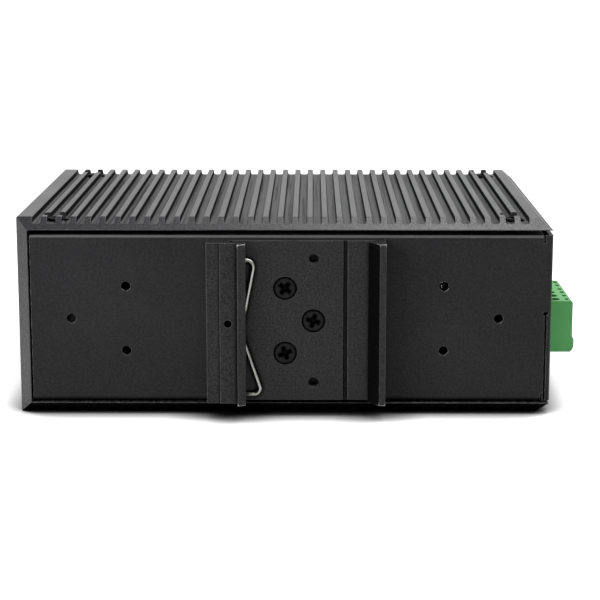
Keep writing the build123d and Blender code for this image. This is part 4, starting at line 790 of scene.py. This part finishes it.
def make_floor(stage):
    """A wide flat floor, as a grid of equal squares."""
    steps = np.linspace(-FLOOR_REACH, FLOOR_REACH, FLOOR_CELLS + 1)
    x, y = np.meshgrid(steps, steps, indexing="ij")
    points = np.stack([x, y, 0 * x], axis=-1)
    faces = grid_faces(len(steps), len(steps), flip=True)
    mesh = bpy.data.meshes.new("floor")
    mesh.from_pydata(points.reshape(-1, 3).tolist(), [], faces.tolist())
    mesh.materials.append(pale_sweep(stage))
    floor = bpy.data.objects.new("floor", mesh)
    bpy.context.scene.collection.objects.link(floor)


def light_room(stage):
    """White room to the eye, and a soft light.

    Reflections see it dim overhead, on the far left and behind the camera.
    """
    world = bpy.data.worlds.new("white studio")
    bpy.context.scene.world = world
    world.use_nodes = True
    tree = world.node_tree
    tree.nodes.clear()
    towards = node(tree, "ShaderNodeTexCoord", take="Generated")
    # Along each axis: where the dimming starts and ends, and the brightness at both
    dims = (
        ("Y", -0.95, -0.35, stage.dim_side, 1.0),
        ("Z", 0.45, 0.9, 1.0, stage.dim_top),
        ("X", -0.95, -0.45, stage.dim_left, 1.0),
    )
    mirrored = 1.0
    for axis, start, end, first, last in dims:
        dim = node(tree, "ShaderNodeSeparateXYZ", {"Vector": towards}, take=axis)
        dim = {"Value": dim, "From Min": start, "From Max": end, "To Min": first, "To Max": last}
        dim = node(tree, "ShaderNodeMapRange", dim)
        mirrored = node(tree, "ShaderNodeMath", {0: mirrored, 1: dim}, operation="MULTIPLY")
    glossy = node(tree, "ShaderNodeLightPath", take="Is Glossy Ray")
    direct = seen_directly(tree)
    shown = node(tree, "ShaderNodeMix", {0: glossy, VALUE_A: direct, VALUE_B: mirrored})
    soft = node(tree, "ShaderNodeMath", {0: 1.0, 1: direct}, operation="SUBTRACT")
    strength = {0: soft, 1: stage.ambient, 2: shown}
    strength = node(tree, "ShaderNodeMath", strength, operation="MULTIPLY_ADD")
    sky = node(tree, "ShaderNodeBackground", {"Color": (1, 1, 1, 1), "Strength": strength})
    node(tree, "ShaderNodeOutputWorld", {"Surface": sky})


def softbox(name, radiance):
    """A rectangular lamp, turned to its target. Its power is radiance times pi times its area."""
    place, size, target = LAMPS[name]
    lamp = bpy.data.lights.new(name, "AREA")
    lamp.shape = "RECTANGLE"
    lamp.size, lamp.size_y = size
    lamp.energy = radiance * math.pi * size[0] * size[1]
    box = bpy.data.objects.new(name, lamp)
    bpy.context.scene.collection.objects.link(box)
    box.location = place
    aim = np.subtract(target, place)
    flat = math.hypot(aim[0], aim[1])
    turn = math.atan2(aim[0], -aim[1]) - math.pi if flat else 0.0
    box.rotation_euler = (math.atan2(flat, -aim[2]), 0.0, turn)
    return box


def place_camera(stage):
    """A long lens a little above the rail side."""
    lens = bpy.data.cameras.new("camera")
    lens.lens = stage.camera_lens
    lens.sensor_width = 36
    lens.sensor_fit = "HORIZONTAL"
    lens.clip_start = 0.01
    lens.clip_end = 50
    camera = bpy.data.objects.new("camera", lens)
    bpy.context.scene.collection.objects.link(camera)
    camera.location = [part * MM for part in CAMERA_PLACE]
    camera.rotation_euler = (math.radians(90 - CAMERA_PITCH), 0.0, math.radians(CAMERA_YAW))
    bpy.context.scene.camera = camera


# Operators

class DEVICE_OT_housing(bpy.types.Operator):
    """Coat the ribbed housing"""

    bl_idname = "device.housing"
    bl_label = "Ribbed housing"

    def execute(self, context):
        coats = context.scene.server_coats
        dress(["ribbed_housing"], stoved_coat("stoved black coat on extruded aluminium", coats))
        return {"FINISHED"}


class DEVICE_OT_chassis(bpy.types.Operator):
    """Coat the folded chassis"""

    bl_idname = "device.chassis"
    bl_label = "Folded chassis"

    def execute(self, context):
        coats = context.scene.server_coats
        dress(["folded_chassis"], powder_coat("black powder coat on folded steel", coats))
        return {"FINISHED"}


class DEVICE_OT_clip(bpy.types.Operator):
    """Anodise the rail clip and bend its spring"""

    bl_idname = "device.clip"
    bl_label = "Rail clip and spring"

    def execute(self, context):
        scene = context.scene
        dress(["din_clip"], anodised_extrusion("black anodised extrusion", scene.server_coats))
        wire = plated_metal(
            "bright drawn spring steel",
            list(scene.server_metals.wire_colour),
            roughness=0.3,
            size=0.4 * MM,
            depth=0.004 * MM,
        )
        dress(["clip_spring"], wire)
        spring_wire(scene.server_wires, wire)
        return {"FINISHED"}


class DEVICE_OT_screws(bpy.types.Operator):
    """Finish the screws, posts and washers"""

    bl_idname = "device.screws"
    bl_label = "Screws and washers"

    def execute(self, context):
        metals = context.scene.server_metals
        # The oxide takes the steel's shine, so the heads look like the plate. Their crosses and rims are
        # painted black as shade.
        black = blackened_steel("black oxide on steel", list(metals.blackened_colour))
        # Zinc is bluish and hazy, and nickel on turned brass is warmer and brighter.
        zinc = plated_metal(
            "zinc plate on steel",
            list(metals.zinc_colour),
            roughness=0.34,
            size=0.5 * MM,
            depth=0.008 * MM,
        )
        nickel = plated_metal(
            "nickel plate on brass",
            list(metals.nickel_colour),
            roughness=0.26,
            size=0.4 * MM,
            depth=0.005 * MM,
        )
        dress(["cover_screws", "clip_screws"], black)
        dress(["board_screws", "terminal_screws", "ground_washer", "ground_screw"], zinc)
        dress(["standoffs", "jack_screws"], nickel)
        return {"FINISHED"}


class DEVICE_OT_jack_threads(bpy.types.Operator):
    """Cut the thread inside the jack screws"""

    bl_idname = "device.jack_threads"
    bl_label = "Jack screw threads"

    def execute(self, context):
        settings = context.scene.server_wires
        metals = context.scene.server_metals
        # The tap leaves finer marks than the turned faces have, so the thread glints evenly.
        material = plated_metal(
            "nickel-plated thread",
            list(metals.nickel_colour),
            roughness=0.3,
            size=0.3 * MM,
            depth=0.003 * MM,
        )
        linings = []
        for mount in frame["record"]["mounts"]:
            if not mount["name"].startswith("jack_screws"):
                continue
            radius = mount["dims"]["hole_r_mm"] * MM
            half = mount["dims"]["spacing_x_mm"] * MM / 2
            x, y, z = mount["pos_m"]
            for side in (-half, half):
                linings.append(thread_lining((x + side, y, z), radius, settings))
        rows, columns = linings[0].shape[:2]
        one = grid_faces(rows, columns, close_rows=True, close_columns=True)
        faces = np.concatenate([one + number * rows * columns for number in range(len(linings))])
        new_piece("jack_threads", np.stack(linings), [faces], material, "case")
        return {"FINISHED"}


class DEVICE_OT_power_plug(bpy.types.Operator):
    """Finish the power plug and its header"""

    bl_idname = "device.power_plug"
    bl_label = "Power plug"

    def execute(self, context):
        plastics = context.scene.server_plastics
        metals = context.scene.server_metals
        # Polyamide takes a soft gloss from the mould.
        plug = moulded_plastic(
            "green moulded polyamide", list(plastics.plug_colour), plastics.plug_roughness, edge=0.2 * MM
        )
        header = moulded_plastic(
            "green polyamide of the header", list(plastics.header_colour), plastics.plug_roughness
        )
        # Tin is pale and soon loses its shine.
        tin = plated_metal(
            "tin plate on brass",
            list(metals.tin_colour),
            roughness=0.3,
            size=0.3 * MM,
            depth=0.006 * MM,
        )
        dress(["terminal_plug"], plug)
        dress(["terminal_header"], header)
        dress(["terminal_pins", "terminal_clamps"], tin)
        return {"FINISHED"}


class DEVICE_OT_serial_ports(bpy.types.Operator):
    """Finish the serial ports"""

    bl_idname = "device.serial_ports"
    bl_label = "Serial ports"

    def execute(self, context):
        plastics = context.scene.server_plastics
        metals = context.scene.server_metals
        # Pressing draws the steel out, so its marks run along the shell.
        shell = plated_metal(
            "nickel plate on pressed steel",
            list(metals.nickel_colour),
            roughness=0.3,
            size=0.5 * MM,
            depth=0.006 * MM,
            run=(1, 0.1, 1),
        )
        # Glass fibres near the surface leave the mouldings a little dull.
        body = moulded_plastic("glass-filled port moulding", list(plastics.port_colour), 0.5)
        # The flash is thin and warm, and as smooth as the drawn pins under it.
        gold = plated_metal(
            "gold flash on contacts",
            list(metals.gold_colour),
            roughness=0.22,
            size=0.3 * MM,
            depth=0.003 * MM,
        )
        dress(SERIAL_SHELLS, shell)
        dress(SERIAL_BODIES, body)
        dress(SERIAL_PINS, gold)
        return {"FINISHED"}


class DEVICE_OT_network_jacks(bpy.types.Operator):
    """Finish the network jacks"""

    bl_idname = "device.network_jacks"
    bl_label = "Network jacks"

    def execute(self, context):
        plastics = context.scene.server_plastics
        metals = context.scene.server_metals
        # The shield is folded from rolled sheet, so faint rolling marks run along it.
        shield = plated_metal(
            "nickel plate on folded shield",
            list(metals.nickel_colour),
            roughness=0.27,
            size=0.5 * MM,
            depth=0.005 * MM,
            run=(1, 0.1, 1),
        )
        insert = moulded_plastic("glass-filled jack moulding", list(plastics.port_colour), 0.48)
        gold = plated_metal(
            "gold flash on jack springs",
            list(metals.gold_colour),
            roughness=0.22,
            size=0.3 * MM,
            depth=0.003 * MM,
        )
        dress(NETWORK_SHIELDS, shield)
        dress(NETWORK_INSERTS, insert)
        dress(NETWORK_CONTACTS, gold)
        return {"FINISHED"}


class DEVICE_OT_lamps(bpy.types.Operator):
    """Finish the lamps, light pipes and reset button"""

    bl_idname = "device.lamps"
    bl_label = "Lamps and reset button"

    def execute(self, context):
        plastics = context.scene.server_plastics
        dress(["light_pipes"], clear_plastic("smoked polycarbonate", list(plastics.pipe_colour)))
        # The epoxy looks milky as it scatters the lamp's light, and acetal has a waxy gloss.
        dress(["status_leds"], moulded_plastic("milky lamp epoxy", linear("#d8d9cc"), 0.3))
        dress(["reset_button"], moulded_plastic("grey acetal plunger", list(plastics.button_colour), 0.38))
        dress(["reset_switch"], moulded_plastic("switch body moulding", list(plastics.package_colour), 0.5))
        return {"FINISHED"}


class DEVICE_OT_board(bpy.types.Operator):
    """Finish the board and what stands on it"""

    bl_idname = "device.board"
    bl_label = "Main board"

    def execute(self, context):
        plastics = context.scene.server_plastics
        metals = context.scene.server_metals
        dress(["main_board"], solder_mask("green solder mask", plastics))
        # The chips' compound is filled with fine silica, so it looks matt.
        compound = moulded_plastic("moulding compound of the chips", list(plastics.package_colour), 0.6)
        dress([*CHIPS, "network_transformer", "power_converter"], compound)
        # The relay's sealed case is polyester, which comes glossy out of the mould.
        dress(["alarm_relay"], moulded_plastic("relay case moulding", list(plastics.relay_colour), 0.35))
        # Ferrite is pressed from powder, so it stays matt and rough.
        ferrite = moulded_plastic("pressed ferrite", linear("#2c2d30"), 0.7, 0.3 * MM, 0.03 * MM)
        can = plated_metal(
            "nickel-plated can",
            list(metals.nickel_colour),
            roughness=0.25,
            size=1 * MM,
            depth=0.004 * MM,
        )
        # The capacitors wear a heat-shrunk sleeve, which is smooth and takes a broad highlight.
        sleeve = moulded_plastic("dark sleeve on the cans", linear("#16181b"), 0.4, 1 * MM, 0.004 * MM)
        dress(["supply_inductor"], ferrite)
        dress(["crystal_can"], can)
        dress(CAPACITORS, sleeve)
        return {"FINISHED"}


class DEVICE_OT_stage(bpy.types.Operator):
    """Set the floor, the light and the camera"""

    bl_idname = "device.stage"
    bl_label = "Stage"

    def execute(self, context):
        stage = context.scene.server_stage
        make_floor(stage)
        light_room(stage)
        softbox("key_softbox", stage.key_radiance)
        # The fill is kept out of reflections, so the coats stay black where they would mirror it.
        softbox("front_fill", stage.fill_radiance).visible_glossy = False
        softbox("edge_light", stage.edge_radiance)
        place_camera(stage)
        return {"FINISHED"}


class DEVICE_PT_panel(bpy.types.Panel):
    """Every step, in order"""

    bl_label = "Device server"
    bl_idname = "DEVICE_PT_panel"
    bl_space_type = "VIEW_3D"
    bl_region_type = "UI"
    bl_category = "Device server"

    def draw(self, context):
        for step in STEPS:
            self.layout.operator(step.bl_idname)


SETTINGS = {
    "server_coats": CoatSettings,
    "server_metals": MetalSettings,
    "server_plastics": PlasticSettings,
    "server_wires": WireSettings,
    "server_stage": StageSettings,
}
STEPS = (
    DEVICE_OT_housing,
    DEVICE_OT_chassis,
    DEVICE_OT_clip,
    DEVICE_OT_screws,
    DEVICE_OT_jack_threads,
    DEVICE_OT_power_plug,
    DEVICE_OT_serial_ports,
    DEVICE_OT_network_jacks,
    DEVICE_OT_lamps,
    DEVICE_OT_board,
    DEVICE_OT_stage,
)


def register():
    for group in (*SETTINGS.values(), *STEPS, DEVICE_PT_panel):
        bpy.utils.register_class(group)
    for name, group in SETTINGS.items():
        setattr(bpy.types.Scene, name, PointerProperty(type=group))


def unregister():
    for name in SETTINGS:
        delattr(bpy.types.Scene, name)
    for group in reversed((*SETTINGS.values(), *STEPS, DEVICE_PT_panel)):
        bpy.utils.unregister_class(group)


def main():
    """Run every step."""
    register()
    bpy.context.scene.view_settings.view_transform = "Standard"
    for step in STEPS:
        group, name = step.bl_idname.split(".")
        getattr(getattr(bpy.ops, group), name)()


if __name__ == "__main__":
    main()
